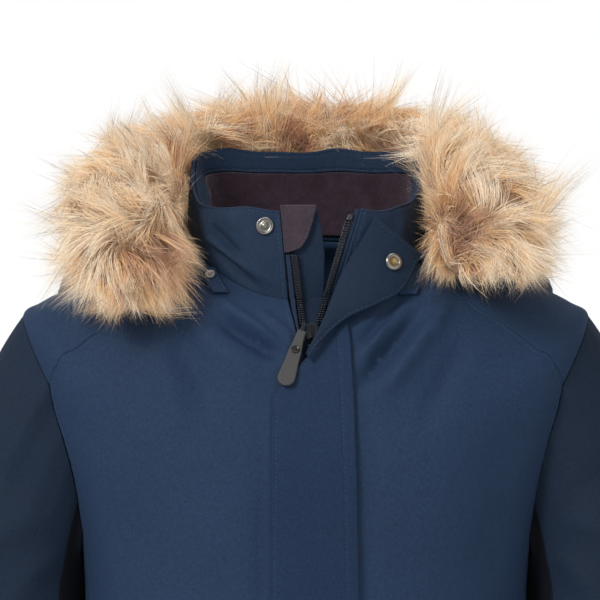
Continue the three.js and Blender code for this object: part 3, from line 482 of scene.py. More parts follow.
def leg_patch(back, sign):
    def patch(u, v, out):
        row = mix(0.02, len(LEG) - 1, v)
        centre, wide = np.moveaxis(read(LEG, row), -1, 0)[1:3]
        start = -np.arcsin(np.clip((centre + LEG_LAP) / wide, 0, 1) ** (SQUARENESS / 2))
        start = math.pi - start if back else start
        around = mix(start, math.pi / 2, u)
        p = leg_surface(around, row)
        lift = ridges(p, LEG_FOLDS) * smooth(0, 30, p[..., 0]) * smooth(0.02, 0.06, 1 - v + 0.03)
        p = p + normal_of(leg_surface, around, row, -1) * (np.asarray(out) + lift)[..., None]
        p[..., 0] = np.maximum(p[..., 0], -LEG_LAP)
        return p * [sign, 1, 1]

    return patch


# Creases pressed into the collar: angle and height of each end, half width in millimetres, height.
COLLAR_CREASES = [
    (-0.90, 0.70, -0.56, 0.36, 3.6, -4.6), (-0.92, 0.50, -0.30, 0.16, 3.6, 4.4),
    (-1.06, 0.92, -0.88, 0.34, 5, 3.4), (-0.84, 0.34, -0.42, 0.06, 4, -4.2),
    (-0.75, 0.95, -0.60, 0.70, 6, 1.6), (0.95, 0.85, 0.80, 0.15, 5, 2.2),
    (2.4, 0.15, 2.55, 0.85, 7, 1.4), (-2.5, 0.2, -2.3, 0.8, 7, 1.4), (1.7, 0.1, 1.8, 0.9, 8, 1.5),
    (-1.75, 0.1, -1.65, 0.9, 8, -1.5), (3.1, 0.1, 3.0, 0.9, 8, 1.0),
]
COLLAR_WAVE = 1.3
# Millimetres to one radian round the collar, and to its full height.
COLLAR_ROUND, COLLAR_TALL = 75, 62


def collar_lift(around, height):
    turn = (around + math.pi) % (2 * math.pi) - math.pi
    lift = np.zeros_like(turn)
    for a0, h0, a1, h1, wide, high in COLLAR_CREASES:
        start = np.array([a0 * COLLAR_ROUND, h0 * COLLAR_TALL])
        way = np.array([(a1 - a0) * COLLAR_ROUND, (h1 - h0) * COLLAR_TALL])
        rest = stack(turn * COLLAR_ROUND, height * COLLAR_TALL) - start
        along = (rest @ way) / (way @ way)
        off = np.abs(rest[..., 0] * way[1] - rest[..., 1] * way[0]) / np.linalg.norm(way)
        lift += high * np.exp(-((along - 0.5) / 0.45) ** 4) * np.exp(-((off / wide) ** 2))
    return lift


def collar(around, height, out):
    n = normal_of(collar_surface, around, height, 1)
    ripple = np.sin(7 * around + 0.4) + 0.6 * np.sin(13 * around + 2)
    wave = COLLAR_WAVE * np.asarray(height) ** 3 * ripple
    moved = n * (np.asarray(out) + collar_lift(around, height))[..., None]
    return collar_surface(around, height) + moved + stack(0, 0, wave)


def collar_patch(low, high):
    def patch(u, v, out):
        height = mix(high, low, v)
        left = edge_angle(collar_surface, height, 2)
        right = 2 * math.pi + edge_angle(collar_surface, height, 1)
        return collar(mix(left, right, u), height, out)

    return patch


# How far the collar's inside hangs in from its rim at each side: share around, spread, millimetres.
COLLAR_HANG = [(0.79, 0.10, 11), (0.19, 0.07, 4)]


def collar_inside(low, high, depth):
    """A piece of the collar's inside, its good side towards the wearer, this deep."""
    flat = collar_patch(low, high)

    def patch(u, v, out):
        height = mix(high, low, np.asarray(v, float))
        above = (0.99 - height) / (0.99 - FACING_FROM)
        share = np.where(height > FACING_FROM, above, mix(0.25, 1, height / FACING_FROM))
        hang = 0
        for at, spread, most in COLLAR_HANG:
            hang = hang + most * np.exp(-(((np.asarray(u) - at) / spread) ** 2))
        return flat(u, v, -depth - np.asarray(out) - hang * np.clip(share, 0, 1))

    return patch


def strip_patch(table, low=None, high=None):
    """A strip of the front between a table's two edges, from its first height to its last unless told."""
    table = np.array(table, float)
    low, high = table[-1, 0] if low is None else low, table[0, 0] if high is None else high

    def patch(u, v, out):
        z = mix(high, low, v)
        return front_view(mix(between(table, z, 1), between(table, z, 2), u), z, out)

    return patch


def turned_surface(u, v):
    u, v = np.broadcast_arrays(np.asarray(u, float), np.asarray(v, float))
    row = read(TURNED, v * (len(TURNED) - 1))
    p = mix(row[..., :3], row[..., 3:], u[..., None])
    return p - stack(0, TURNED_BULGE * np.sin(math.pi * u) * v, 0)


def turned_patch(u, v, out):
    return turned_surface(u, v) + normal_of(turned_surface, u, v, 1) * (SHELL + np.asarray(out))[..., None]


def fur_at(at):
    last = len(FUR_PATH) - 1
    at = np.asarray(at, float)
    mirrored = at > last
    row = read(FUR_PATH, np.where(mirrored, 2 * last - at, at))
    sign = np.where(mirrored, -1, 1)
    return row[..., :3] * stack(sign, 1, 1), row[..., 3], row[..., 4]


FUR_END = 2 * (len(FUR_PATH) - 1)


def fur_frame(at):
    centre, wide, high = fur_at(at)
    way = unit(fur_at(at + STEP)[0] - fur_at(at - STEP)[0])
    side = unit(np.cross(way, [0, 0, 1]))
    up = unit(np.cross(side, way))
    return centre, wide, high, way, side, up


# How many rows of the body the hood hangs down at its sides and at its back, and where its rim begins.
HOOD_ROWS_DOWN, HOOD_START = (1.3, 4.5), math.radians(48)


def hood_surface(around, v):
    around, v = np.broadcast_arrays(np.asarray(around, float), np.asarray(v, float))
    down, share, out = np.moveaxis(read(HOOD_PROFILE, v * (len(HOOD_PROFILE) - 1)), -1, 0)
    depth = mix(*HOOD_ROWS_DOWN, np.maximum(-np.cos(around), 0) ** 0.8)
    side = (1 + np.cos(2 * around)) / 2
    row = down * depth
    n = normal_of(body_surface, around, row, -1)
    foot = body_surface(around, row) + n * mix(out * 0.55 + 2, out, side)[..., None]
    along = np.clip((around - HOOD_START) / (2 * math.pi - 2 * HOOD_START), 0, 1)
    centre, wide, high = fur_at(FUR_END * along)
    outward = unit(centre * [1, 1, 0])
    rim = centre + outward * (wide * 0.55)[..., None] - stack(0, 0, high * 0.4)
    return mix(foot, rim, np.clip(share, 0, 1)[..., None])


# ---------------------------------------------------------------- meshes


def new_object(name, vertices, faces, material, slots=None):
    """An object at the origin with its place in its mesh, from millimetres."""
    mesh = bpy.data.meshes.new(name)
    mesh.from_pydata((np.asarray(vertices) * MM).tolist(), [], faces)
    mesh.materials.append(material)
    for extra in slots or []:
        mesh.materials.append(extra)
    mesh.shade_smooth()
    mesh.update()
    obj = bpy.data.objects.new(name, mesh)
    bpy.context.scene.collection.objects.link(obj)
    return obj


def steps(length, pitch, rows=()):
    """Shares of a length: close together at its ends and beside stitch rows, even elsewhere."""
    near = [0, 0.5, 1.2, 2.2, 4.2]
    at = near + [length - e for e in near]
    for row in rows:
        row = row if row >= 0 else length + row
        at += [row - 1.5, row - 0.7, row, row + 0.7, row + 1.5]
    at = [a for a in sorted(at) if 0 <= a <= length]
    kept = [0.0]
    for a in at[1:]:
        if a - kept[-1] > 0.35:
            kept.append(a)
    kept[-1] = length
    full = [np.linspace(a, b, max(1, math.ceil((b - a) / pitch)) + 1)[:-1] for a, b in zip(kept, kept[1:])]
    return np.append(np.concatenate(full), length) / length


def thinned(shares, length, pitch):
    """Indices of a coarser set of the same shares, with both ends."""
    kept = [0]
    for i, share in enumerate(shares[:-1]):
        if (share - shares[kept[-1]]) * length >= pitch:
            kept.append(i)
    return [*kept, len(shares) - 1]


def run_lengths(points, axis):
    gaps = np.linalg.norm(np.diff(points, axis=axis), axis=-1)
    first = np.zeros_like(np.take(gaps, [0], axis=axis))
    return np.concatenate([first, np.cumsum(gaps, axis=axis)], axis=axis)


def wander(seed, s, lengths):
    """A smooth uneven line: a sum of waves of these lengths."""
    rng = np.random.default_rng(seed)
    total = np.zeros_like(s)
    for length in lengths:
        total += np.sin(2 * math.pi * s / (length * rng.uniform(0.85, 1.15)) + rng.uniform(0, 6.28))
    return total / len(lengths)


def inside_out(mesh):
    """Whether a closed mesh's faces look inwards, from the sign of its volume."""
    mesh.calc_loop_triangles()
    p = np.zeros(len(mesh.vertices) * 3)
    t = np.zeros(len(mesh.loop_triangles) * 3, np.int32)
    mesh.vertices.foreach_get("co", p)
    mesh.loop_triangles.foreach_get("vertices", t)
    a, b, c = np.moveaxis(p.reshape(-1, 3)[t.reshape(-1, 3)], 1, 0)
    return float(np.einsum("ij,ij->i", a, np.cross(b, c)).sum()) < 0


# Pitch of the wall's inner face, and the shape of a stitch row: how deep it presses, how wide the dent and
# the pucker beside it are, and how far from the row the pucker lies.
INNER_PITCH = 9.0
DENT, DENT_WIDTH, PUCKER_WIDTH, PUCKER_FROM_ROW = 0.45, 0.8, 5, 1.5
EDGE_SHARE = 0.8


class Cloth:
    """A cut piece: its form, its walls' places and how far each point lies from its four edges."""

    def __init__(self, name, patch, out, thick, pitch, rows=None, pucker=0.3, soft=0.6):
        self.name, self.patch, self.out, self.thick = name, patch, out - thick, thick
        self.rows = rows or {}
        u, v = np.meshgrid(np.linspace(0, 1, 25), np.linspace(0, 1, 25))
        coarse = patch(u, v, np.full_like(u, out))
        self.wide = float(run_lengths(coarse, 1)[:, -1].mean())
        self.long = float(run_lengths(coarse, 0)[-1].mean())
        across = [*self.rows.get("left", []), *(-r for r in self.rows.get("right", []))]
        down = [*self.rows.get("top", []), *(-r for r in self.rows.get("bottom", []))]
        self.u, self.v = steps(self.wide, pitch, across), steps(self.long, pitch, down)
        u, v = np.meshgrid(self.u, self.v)
        plain = patch(u, v, np.full_like(u, out))
        x, y = run_lengths(plain, 1), run_lengths(plain, 0)
        self.edge = {"left": x, "right": x[:, -1:] - x, "top": y, "bottom": y[-1:] - y}
        self.uv = stack(x - x[:, -1:] / 2, -y)
        self.outer = patch(u, v, self.lowered(x, y, pucker, soft) + self.out)

    def lowered(self, x, y, pucker, soft):
        """The wall's thickness: round at the edges, pressed in by stitch rows and puckered beside them."""
        thick = np.full_like(x, self.thick)
        for side, far in self.edge.items():
            along = y if side in ("left", "right") else x
            seed = len(self.name) * 7 + len(side)
            for row in self.rows.get(side, []):
                thick -= DENT * np.exp(-(((far - row) / DENT_WIDTH) ** 2))
                beside = np.exp(-(((far - row - PUCKER_FROM_ROW) / PUCKER_WIDTH) ** 2))
                thick += pucker * wander(seed, along, (7, 10, 15)) * beside
            t = np.clip(far / soft, 0, 1)
            thick = np.where(far < soft, mix(EDGE_SHARE, 1, np.sqrt(1 - (1 - t) ** 2)) * thick, thick)
        return thick

    def on(self, u, v, lift=0.0):
        """Points on the outer face, from shares of its width and length."""
        return self.patch(u, v, np.full_like(np.asarray(u, float), self.out + self.thick + lift))

    def stitch_row(self, side, row, start=2.0, end=2.0):
        """The shares where a stitch row runs beside one edge."""
        upright = side in ("left", "right")
        far, share = (self.edge[side], self.u) if upright else (self.edge[side].T, self.v)
        if side in ("right", "bottom"):
            far, share = far[:, ::-1], share[::-1]
        inward = np.array([np.interp(row, line, share) for line in far])
        along, length = (self.v, self.long) if upright else (self.u, self.wide)
        keep = (along >= start / length) & (along <= 1 - end / length)
        return (inward[keep], along[keep]) if upright else (along[keep], inward[keep])

    def make(self, material):
        rows, columns = len(self.v), len(self.u)
        iu, iv = thinned(self.u, self.wide, INNER_PITCH), thinned(self.v, self.long, INNER_PITCH)
        u, v = np.meshgrid(self.u[iu], self.v[iv])
        inner = self.patch(u, v, np.full_like(u, self.out))
        points = np.vstack([self.outer.reshape(-1, 3), inner.reshape(-1, 3)])
        uv = np.vstack([self.uv.reshape(-1, 2), self.uv[np.ix_(iv, iu)].reshape(-1, 2)])
        first = rows * columns
        last_row, last_column = len(iv) - 1, len(iu) - 1

        def o(j, i):
            return j * columns + i

        def n(b, a):
            return first + b * len(iu) + a

        outer = product(range(rows - 1), range(columns - 1))
        faces = [[o(j, i), o(j + 1, i), o(j + 1, i + 1), o(j, i + 1)] for j, i in outer]
        hidden = product(range(last_row), range(last_column))
        faces += [[n(b, a), n(b, a + 1), n(b + 1, a + 1), n(b + 1, a)] for b, a in hidden]
        for a in range(last_column):
            run = range(iu[a], iu[a + 1] + 1)
            faces.append([n(0, a + 1), n(0, a), *(o(0, i) for i in run)])
            faces.append([n(last_row, a), n(last_row, a + 1), *(o(rows - 1, i) for i in reversed(run))])
        for b in range(last_row):
            run = range(iv[b], iv[b + 1] + 1)
            faces.append([n(b, 0), n(b + 1, 0), *(o(j, 0) for j in reversed(run))])
            faces.append([n(b + 1, last_column), n(b, last_column), *(o(j, columns - 1) for j in run)])
        obj = new_object(self.name + "_cloth", points, faces, material)
        if inside_out(obj.data):
            obj.data.flip_normals()
        layer = obj.data.uv_layers.new(name="UVMap")
        loops = np.zeros(len(obj.data.loops), np.int32)
        obj.data.loops.foreach_get("vertex_index", loops)
        layer.data.foreach_set("uv", (uv[loops] * MM).astype(np.float32).ravel())
        return obj


# ---------------------------------------------------------------- materials


def node(tree, kind, settings=None, **sockets):
    """A node with its settings, its named inputs linked to a socket or set to a value."""
    made = tree.nodes.new(kind)
    for key, value in (settings or {}).items():
        setattr(made, key, value)
    for key, value in sockets.items():
        socket = made.inputs[int(key[1:]) if key[0] == "_" else key.replace("_", " ")]
        if isinstance(value, bpy.types.NodeSocket):
            tree.links.new(value, socket)
        else:
            socket.default_value = value
    return made


def math_node(tree, operation, a, b=0.0):
    return node(tree, "ShaderNodeMath", {"operation": operation}, _0=a, _1=b).outputs[0]


def noise(tree, place, scale, detail, **more):
    """The first output of a noise texture at a place."""
    made = node(tree, "ShaderNodeTexNoise", Vector=place, Scale=float(scale), Detail=float(detail), **more)
    return made.outputs[0]


def times(tree, vector, factor):
    """A vector scaled by a number; either is a socket or a value."""
    return node(tree, "ShaderNodeVectorMath", {"operation": "SCALE"}, _0=vector, Scale=factor).outputs[0]


def group(name, inputs, outputs, build):
    """A shader node group, made once: build(tree, inputs) gives the outputs' sockets in order."""
    if name in bpy.data.node_groups:
        return bpy.data.node_groups[name]
    tree = bpy.data.node_groups.new(name, "ShaderNodeTree")
    for label, kind, default in inputs:
        socket = tree.interface.new_socket(label, in_out="INPUT", socket_type=kind)
        if default is not None:
            socket.default_value = default
    for label, kind in outputs:
        tree.interface.new_socket(label, in_out="OUTPUT", socket_type=kind)
    start, end = tree.nodes.new("NodeGroupInput"), tree.nodes.new("NodeGroupOutput")
    for socket, made in zip(end.inputs, build(tree, start.outputs)):
        tree.links.new(made, socket)
    return tree


VECTOR, FLOAT = "NodeSocketVector", "NodeSocketFloat"


def weave_parts(tree, given):
    """Height in millimetres and a shade near 1: fine crossing yarns, soft crinkles and a faint mottle."""
    apart = node(tree, "ShaderNodeSeparateXYZ", Vector=given["UV"])
    turn = math_node(tree, "DIVIDE", 2 * math.pi, given["Pitch"])
    waves = [math_node(tree, "SINE", math_node(tree, "MULTIPLY", apart.outputs[k], turn)) for k in (0, 1)]
    yarn = math_node(tree, "MULTIPLY", waves[0], waves[1])
    crinkle = noise(tree, given["Object"], 85, 3, Roughness=0.55, Distortion=0.6)
    height = math_node(tree, "MULTIPLY", crinkle, given["Crinkle"])
    height = math_node(tree, "ADD", height, math_node(tree, "MULTIPLY", yarn, given["Yarn"]))
    shade = math_node(tree, "MULTIPLY", yarn, 0.06)
    specks, mottle, slubs = (900, 2, given["Speck"]), (14, 2, 0.22), (380, 1, 0.3)
    for scale, detail, amount in (specks, mottle, slubs):
        uneven = math_node(tree, "SUBTRACT", noise(tree, given["Object"], scale, detail), 0.5)
        shade = math_node(tree, "ADD", shade, math_node(tree, "MULTIPLY", uneven, amount))
    return height, math_node(tree, "ADD", shade, 1.0)


def nap_parts(tree, given):
    """Height in millimetres and a shade near 1: the tufts and hollows of brushed fleece."""
    tuft = noise(tree, given["Object"], 420, 4, Roughness=0.7, Distortion=1.2)
    clump = noise(tree, given["Object"], 95, 2, Distortion=0.8)
    both = math_node(tree, "ADD", tuft, clump)
    height = math_node(tree, "MULTIPLY", both, given["Nap"])
    mottle = math_node(tree, "MULTIPLY", math_node(tree, "SUBTRACT", both, 1.0), given["Mottle"])
    return height, math_node(tree, "ADD", mottle, 1.0)


CLOTH_OUTPUTS = [("Height", FLOAT), ("Shade", FLOAT)]


def weave_group():
    places = [("Object", VECTOR, None), ("UV", VECTOR, None)]
    amounts = {"Pitch": 0.0008, "Yarn": 0.05, "Crinkle": 0.6, "Speck": 0.8}
    inputs = places + [(name, FLOAT, amount) for name, amount in amounts.items()]
    return group("Woven cloth", inputs, CLOTH_OUTPUTS, weave_parts)


def nap_group():
    inputs = [("Object", VECTOR, None), ("Nap", FLOAT, 0.8), ("Mottle", FLOAT, 0.9)]
    return group("Brushed nap", inputs, CLOTH_OUTPUTS, nap_parts)


def blank(name):
    material = bpy.data.materials.new(name)
    material.use_nodes = True
    return material, material.node_tree, material.node_tree.nodes["Principled BSDF"]


def finish_with(tree, shader, **inputs):
    """Links or sets a shader's named inputs."""
    for key, value in inputs.items():
        socket = shader.inputs[key.replace("_", " ")]
        if isinstance(value, bpy.types.NodeSocket):
            tree.links.new(value, socket)
        else:
            socket.default_value = value


def cloth_material(name, colour, effect, sheen=0.05, roughness=0.6):
    """A cloth: its colour times the effect's shade, with the effect's height as bump."""
    material, tree, shader = blank(name)
    coordinates = node(tree, "ShaderNodeTexCoord")
    pattern = node(tree, "ShaderNodeGroup", {"node_tree": effect()}, Object=coordinates.outputs["Object"])
    if "UV" in pattern.inputs:
        tree.links.new(node(tree, "ShaderNodeUVMap").outputs[0], pattern.inputs["UV"])
    bump = node(tree, "ShaderNodeBump", Strength=1.0, Distance=MM, Height=pattern.outputs["Height"])
    tint = (*[min(1, 0.35 + 4 * part) for part in colour], 1)
    finish_with(tree, shader, Base_Color=times(tree, colour, pattern.outputs["Shade"]),
                Normal=bump.outputs[0], Roughness=roughness, Specular_IOR_Level=0.15, Sheen_Weight=sheen,
                Sheen_Roughness=0.45, Sheen_Tint=tint)
    return material


def smooth_material(name, colour, metal=0.0, roughness=0.4, wear=0.1):
    """Metal, rubber or thread: one colour, its roughness a little uneven."""
    material, tree, shader = blank(name)
    grain = noise(tree, node(tree, "ShaderNodeTexCoord").outputs["Object"], 700, 3)
    uneven = math_node(tree, "MULTIPLY", math_node(tree, "SUBTRACT", grain, 0.5), wear)
    finish_with(tree, shader, Base_Color=times(tree, colour, math_node(tree, "ADD", uneven, 1.0)),
                Roughness=math_node(tree, "ADD", uneven, roughness), Metallic=metal)
    return material


# Colours of the fur along a hair for each tone: root, middle, tip.
FUR_TONES = [
    ("cream", (0.60, 0.42, 0.27), (0.94, 0.79, 0.60), (0.98, 0.89, 0.75)),
    ("golden", (0.38, 0.19, 0.08), (0.85, 0.55, 0.26), (0.95, 0.73, 0.44)),
    ("pinkish", (0.27, 0.12, 0.07), (0.58, 0.31, 0.20), (0.82, 0.58, 0.43)),
    ("brown", (0.09, 0.036, 0.018), (0.24, 0.105, 0.052), (0.42, 0.22, 0.115)),
]
GUARD_TIP, FUR_SKIN = (0.045, 0.020, 0.012), (0.42, 0.26, 0.15)
# Painted light: how strongly the hairs glow in their own colour towards the tips, standing in for light
# that passes through pale hair.
FUR_PAINTED_GLOW = 0.24


def ramp(tree, value, stops):
    made, stops = node(tree, "ShaderNodeValToRGB", Fac=value), list(stops)
    elements = made.color_ramp.elements
    while len(elements) < len(stops):
        elements.new(0.5)
    for element, (at, colour) in zip(elements, stops):
        element.position, element.color = at, (*colour, 1)
    return made.outputs[0]


def blended(tree, factor, first, second):
    """Two colours mixed by a factor."""
    mixed = node(tree, "ShaderNodeMix", {"data_type": "RGBA"}, _0=factor, _6=first, _7=second)
    return mixed.outputs[2]


def fur_material():
    """Hairs: a colour for each tone, changing from root to tip, with a painted glow that grows towards the
    tips.
    """
    material, tree, shader = blank("Fur hair")
    along, tone, shade, tipped = [
        node(tree, "ShaderNodeAttribute", {"attribute_name": name}).outputs["Fac"]
        for name in ("along", "tone", "shade", "tipped")
    ]
    colours = [ramp(tree, along, zip((0, 0.45, 1), stops)) for _, *stops in FUR_TONES]
    colour = colours[0]
    for k, other in enumerate(colours[1:]):
        share = node(tree, "ShaderNodeMapRange", Value=tone, _1=k + 0.0, _2=k + 1.0)
        colour = blended(tree, share.outputs[0], colour, other)
    dark = node(tree, "ShaderNodeMapRange", Value=along, _1=0.45, _2=0.85).outputs[0]
    colour = blended(tree, math_node(tree, "MULTIPLY", dark, tipped), colour, (*GUARD_TIP, 1))
    colour = times(tree, colour, shade)
    # The emission is painted light: it brightens the tips as if light shone through them.
    finish_with(tree, shader, Base_Color=colour, Emission_Color=colour,
                Emission_Strength=math_node(tree, "MULTIPLY", along, FUR_PAINTED_GLOW),
                Roughness=0.5, Specular_IOR_Level=0.3, Sheen_Weight=0.15)
    return material


# ---------------------------------------------------------------- repeats, made by Geometry Nodes


def store(mesh, name, values):
    values = np.asarray(values, np.float32)
    kind = "FLOAT_VECTOR" if values.ndim == 2 else "FLOAT"
    layer = mesh.attributes.new(name, kind, "POINT")
    layer.data.foreach_set("vector" if values.ndim == 2 else "value", values.ravel())


def points_object(name, points, **attributes):
    """Loose points in metres with attributes, for a node tree to work on."""
    mesh = bpy.data.meshes.new(name)
    mesh.from_pydata(np.asarray(points).tolist(), [], [])
    for key, values in attributes.items():
        store(mesh, key, values)
    obj = bpy.data.objects.new(name, mesh)
    bpy.context.scene.collection.objects.link(obj)
    return obj


def named(tree, name, kind="FLOAT_VECTOR"):
    made = node(tree, "GeometryNodeInputNamedAttribute", {"data_type": kind}, Name=name)
    return made.outputs[0]


def geometry_tree(name, inputs, build):
    """A geometry node tree, made once; what build(tree, inputs) gives is smoothed and gets the material."""
    if name in bpy.data.node_groups:
        return bpy.data.node_groups[name]
    tree = bpy.data.node_groups.new(name, "GeometryNodeTree")
    tree.interface.new_socket("Geometry", in_out="INPUT", socket_type="NodeSocketGeometry")
    for label, kind, default in [*inputs, ("Material", "NodeSocketMaterial", None)]:
        socket = tree.interface.new_socket(label, in_out="INPUT", socket_type=kind)
        if default is not None:
            socket.default_value = default
    tree.interface.new_socket("Geometry", in_out="OUTPUT", socket_type="NodeSocketGeometry")
    given, end = tree.nodes.new("NodeGroupInput").outputs, tree.nodes.new("NodeGroupOutput")
    smoothed = node(tree, "GeometryNodeSetShadeSmooth", Geometry=build(tree, given))
    done = node(tree, "GeometryNodeSetMaterial", Geometry=smoothed.outputs[0], Material=given["Material"])
    tree.links.new(done.outputs[0], end.inputs[0])
    return tree


def bead_parts(tree, given):
    """A rounded bead on each point, along its way and facing its face."""
    segments, rings = given["Segments"], given["Rings"]
    bead = node(tree, "GeometryNodeMeshUVSphere", Segments=segments, Rings=rings, Radius=0.5)
    turn = node(tree, "FunctionNodeAxesToRotation", {"primary_axis": "X", "secondary_axis": "Z"},
                _0=named(tree, "way"), _1=named(tree, "face"))
    size = node(tree, "ShaderNodeCombineXYZ", X=given["Length"], Y=given["Width"], Z=given["Height"])
    made = node(tree, "GeometryNodeInstanceOnPoints", Points=given["Geometry"], Instance=bead.outputs[0],
                Rotation=turn.outputs[0], Scale=size.outputs[0])
    return node(tree, "GeometryNodeRealizeInstances", Geometry=made.outputs[0]).outputs[0]


def strand_parts(tree, given):
    """A tapering strand on each point, bent along its aim, bend and curl, and flat to its side."""
    strip = node(tree, "GeometryNodeMeshGrid", _0=1.0, _1=1.0, _2=2, _3=given["Joints"]).outputs[0]
    place = node(tree, "ShaderNodeSeparateXYZ", Vector=node(tree, "GeometryNodeInputPosition").outputs[0])
    marks = {"along": math_node(tree, "ADD", place.outputs[1], 0.5), "across": place.outputs[0]}
    for name, value in marks.items():
        strip = node(tree, "GeometryNodeStoreNamedAttribute", {"data_type": "FLOAT", "domain": "POINT"},
                     Geometry=strip, Name=name, Value=value).outputs[0]
    made = node(tree, "GeometryNodeInstanceOnPoints", Points=given["Geometry"], Instance=strip)
    real = node(tree, "GeometryNodeRealizeInstances", Geometry=made.outputs[0])
    along, across = named(tree, "along", "FLOAT"), named(tree, "across", "FLOAT")
    narrow = math_node(tree, "SUBTRACT", 1.0, math_node(tree, "POWER", along, given["Taper"]))
    narrow = math_node(tree, "MULTIPLY", narrow, named(tree, "width", "FLOAT"))
    shifts, amount = [], along
    for name in ("aim", "bend", "curl"):
        shifts.append(times(tree, named(tree, name), amount))
        amount = math_node(tree, "MULTIPLY", amount, along)
    shifts.append(times(tree, named(tree, "side"), math_node(tree, "MULTIPLY", across, narrow)))
    place = named(tree, "root")
    for shift in shifts:
        place = node(tree, "ShaderNodeVectorMath", {"operation": "ADD"}, _0=place, _1=shift).outputs[0]
    return node(tree, "GeometryNodeSetPosition", Geometry=real.outputs[0], Position=place).outputs[0]


WHOLE = "NodeSocketInt"


def bead_tree():
    sizes = [("Length", FLOAT, 0.0026), ("Width", FLOAT, 0.0006), ("Height", FLOAT, 0.0005)]
    counts = [("Segments", WHOLE, 6), ("Rings", WHOLE, 4)]
    return geometry_tree("Beads along rows", sizes + counts, bead_parts)


def strand_tree():
    return geometry_tree("Fur strands", [("Joints", WHOLE, 6), ("Taper", FLOAT, 1.4)], strand_parts)


# Attributes that only the node trees need.
WORKING = ("root", "aim", "bend", "curl", "side", "width", "across", "way", "face")


def made_by(obj, tree, material, values):
    """Runs a node tree on an object and gives the result as a plain mesh in its place."""
    modifier = obj.modifiers.new("Nodes", "NODES")
    modifier.node_group = tree
    for item in tree.interface.items_tree:
        if item.item_type == "SOCKET" and item.in_out == "INPUT" and item.name != "Geometry":
            value = material if item.name == "Material" else values.get(item.name)
            if value is not None:
                modifier[item.identifier] = value
    name = obj.name
    depsgraph = bpy.context.evaluated_depsgraph_get()
    mesh = bpy.data.meshes.new_from_object(obj.evaluated_get(depsgraph))
    if not len(mesh.polygons):
        raise RuntimeError(f"{name}: the node tree gave no faces")
    for attribute in [a.name for a in mesh.attributes]:
        if attribute in WORKING:
            mesh.attributes.remove(mesh.attributes[attribute])
    old = obj.data
    bpy.data.objects.remove(obj)
    bpy.data.meshes.remove(old)
    mesh.name = name
    final = bpy.data.objects.new(name, mesh)
    bpy.context.scene.collection.objects.link(final)
    return final


def beads(name, rows, material, pitch, **size):
    """Beads every pitch along rows of points; a row is its points and the normals they lie on."""
    places, ways, faces = [], [], []
    for points, normals in rows:
        run = run_lengths(points, 0)
        count = int(run[-1] / pitch)
        if count < 1:
            continue
        at = (np.arange(count) + 0.5) * run[-1] / count
        line = along_run(at, run, points)
        ahead, behind = along_run(at + pitch * 0.3, run, points), along_run(at - pitch * 0.3, run, points)
        places.append(line)
        ways.append(unit(ahead - behind))
        faces.append(unit(along_run(at, run, normals)))
    obj = points_object(name, np.vstack(places) * MM, way=np.vstack(ways), face=np.vstack(faces))
    return made_by(obj, bead_tree(), material, size)


def row_on(cloth, u, v, lift):
    """A row of points on a cloth, with normals, for stitches or teeth."""
    low, high = cloth.on(u, v, lift), cloth.on(u, v, lift + 1)
    return low, unit(high - low)


# ---------------------------------------------------------------- cloth pieces

FRONT_PITCH, HIDDEN_PITCH = 2.8, 5.0
ZIP_STITCH = 3.4
TWICE = {1: "left", -1: "right"}


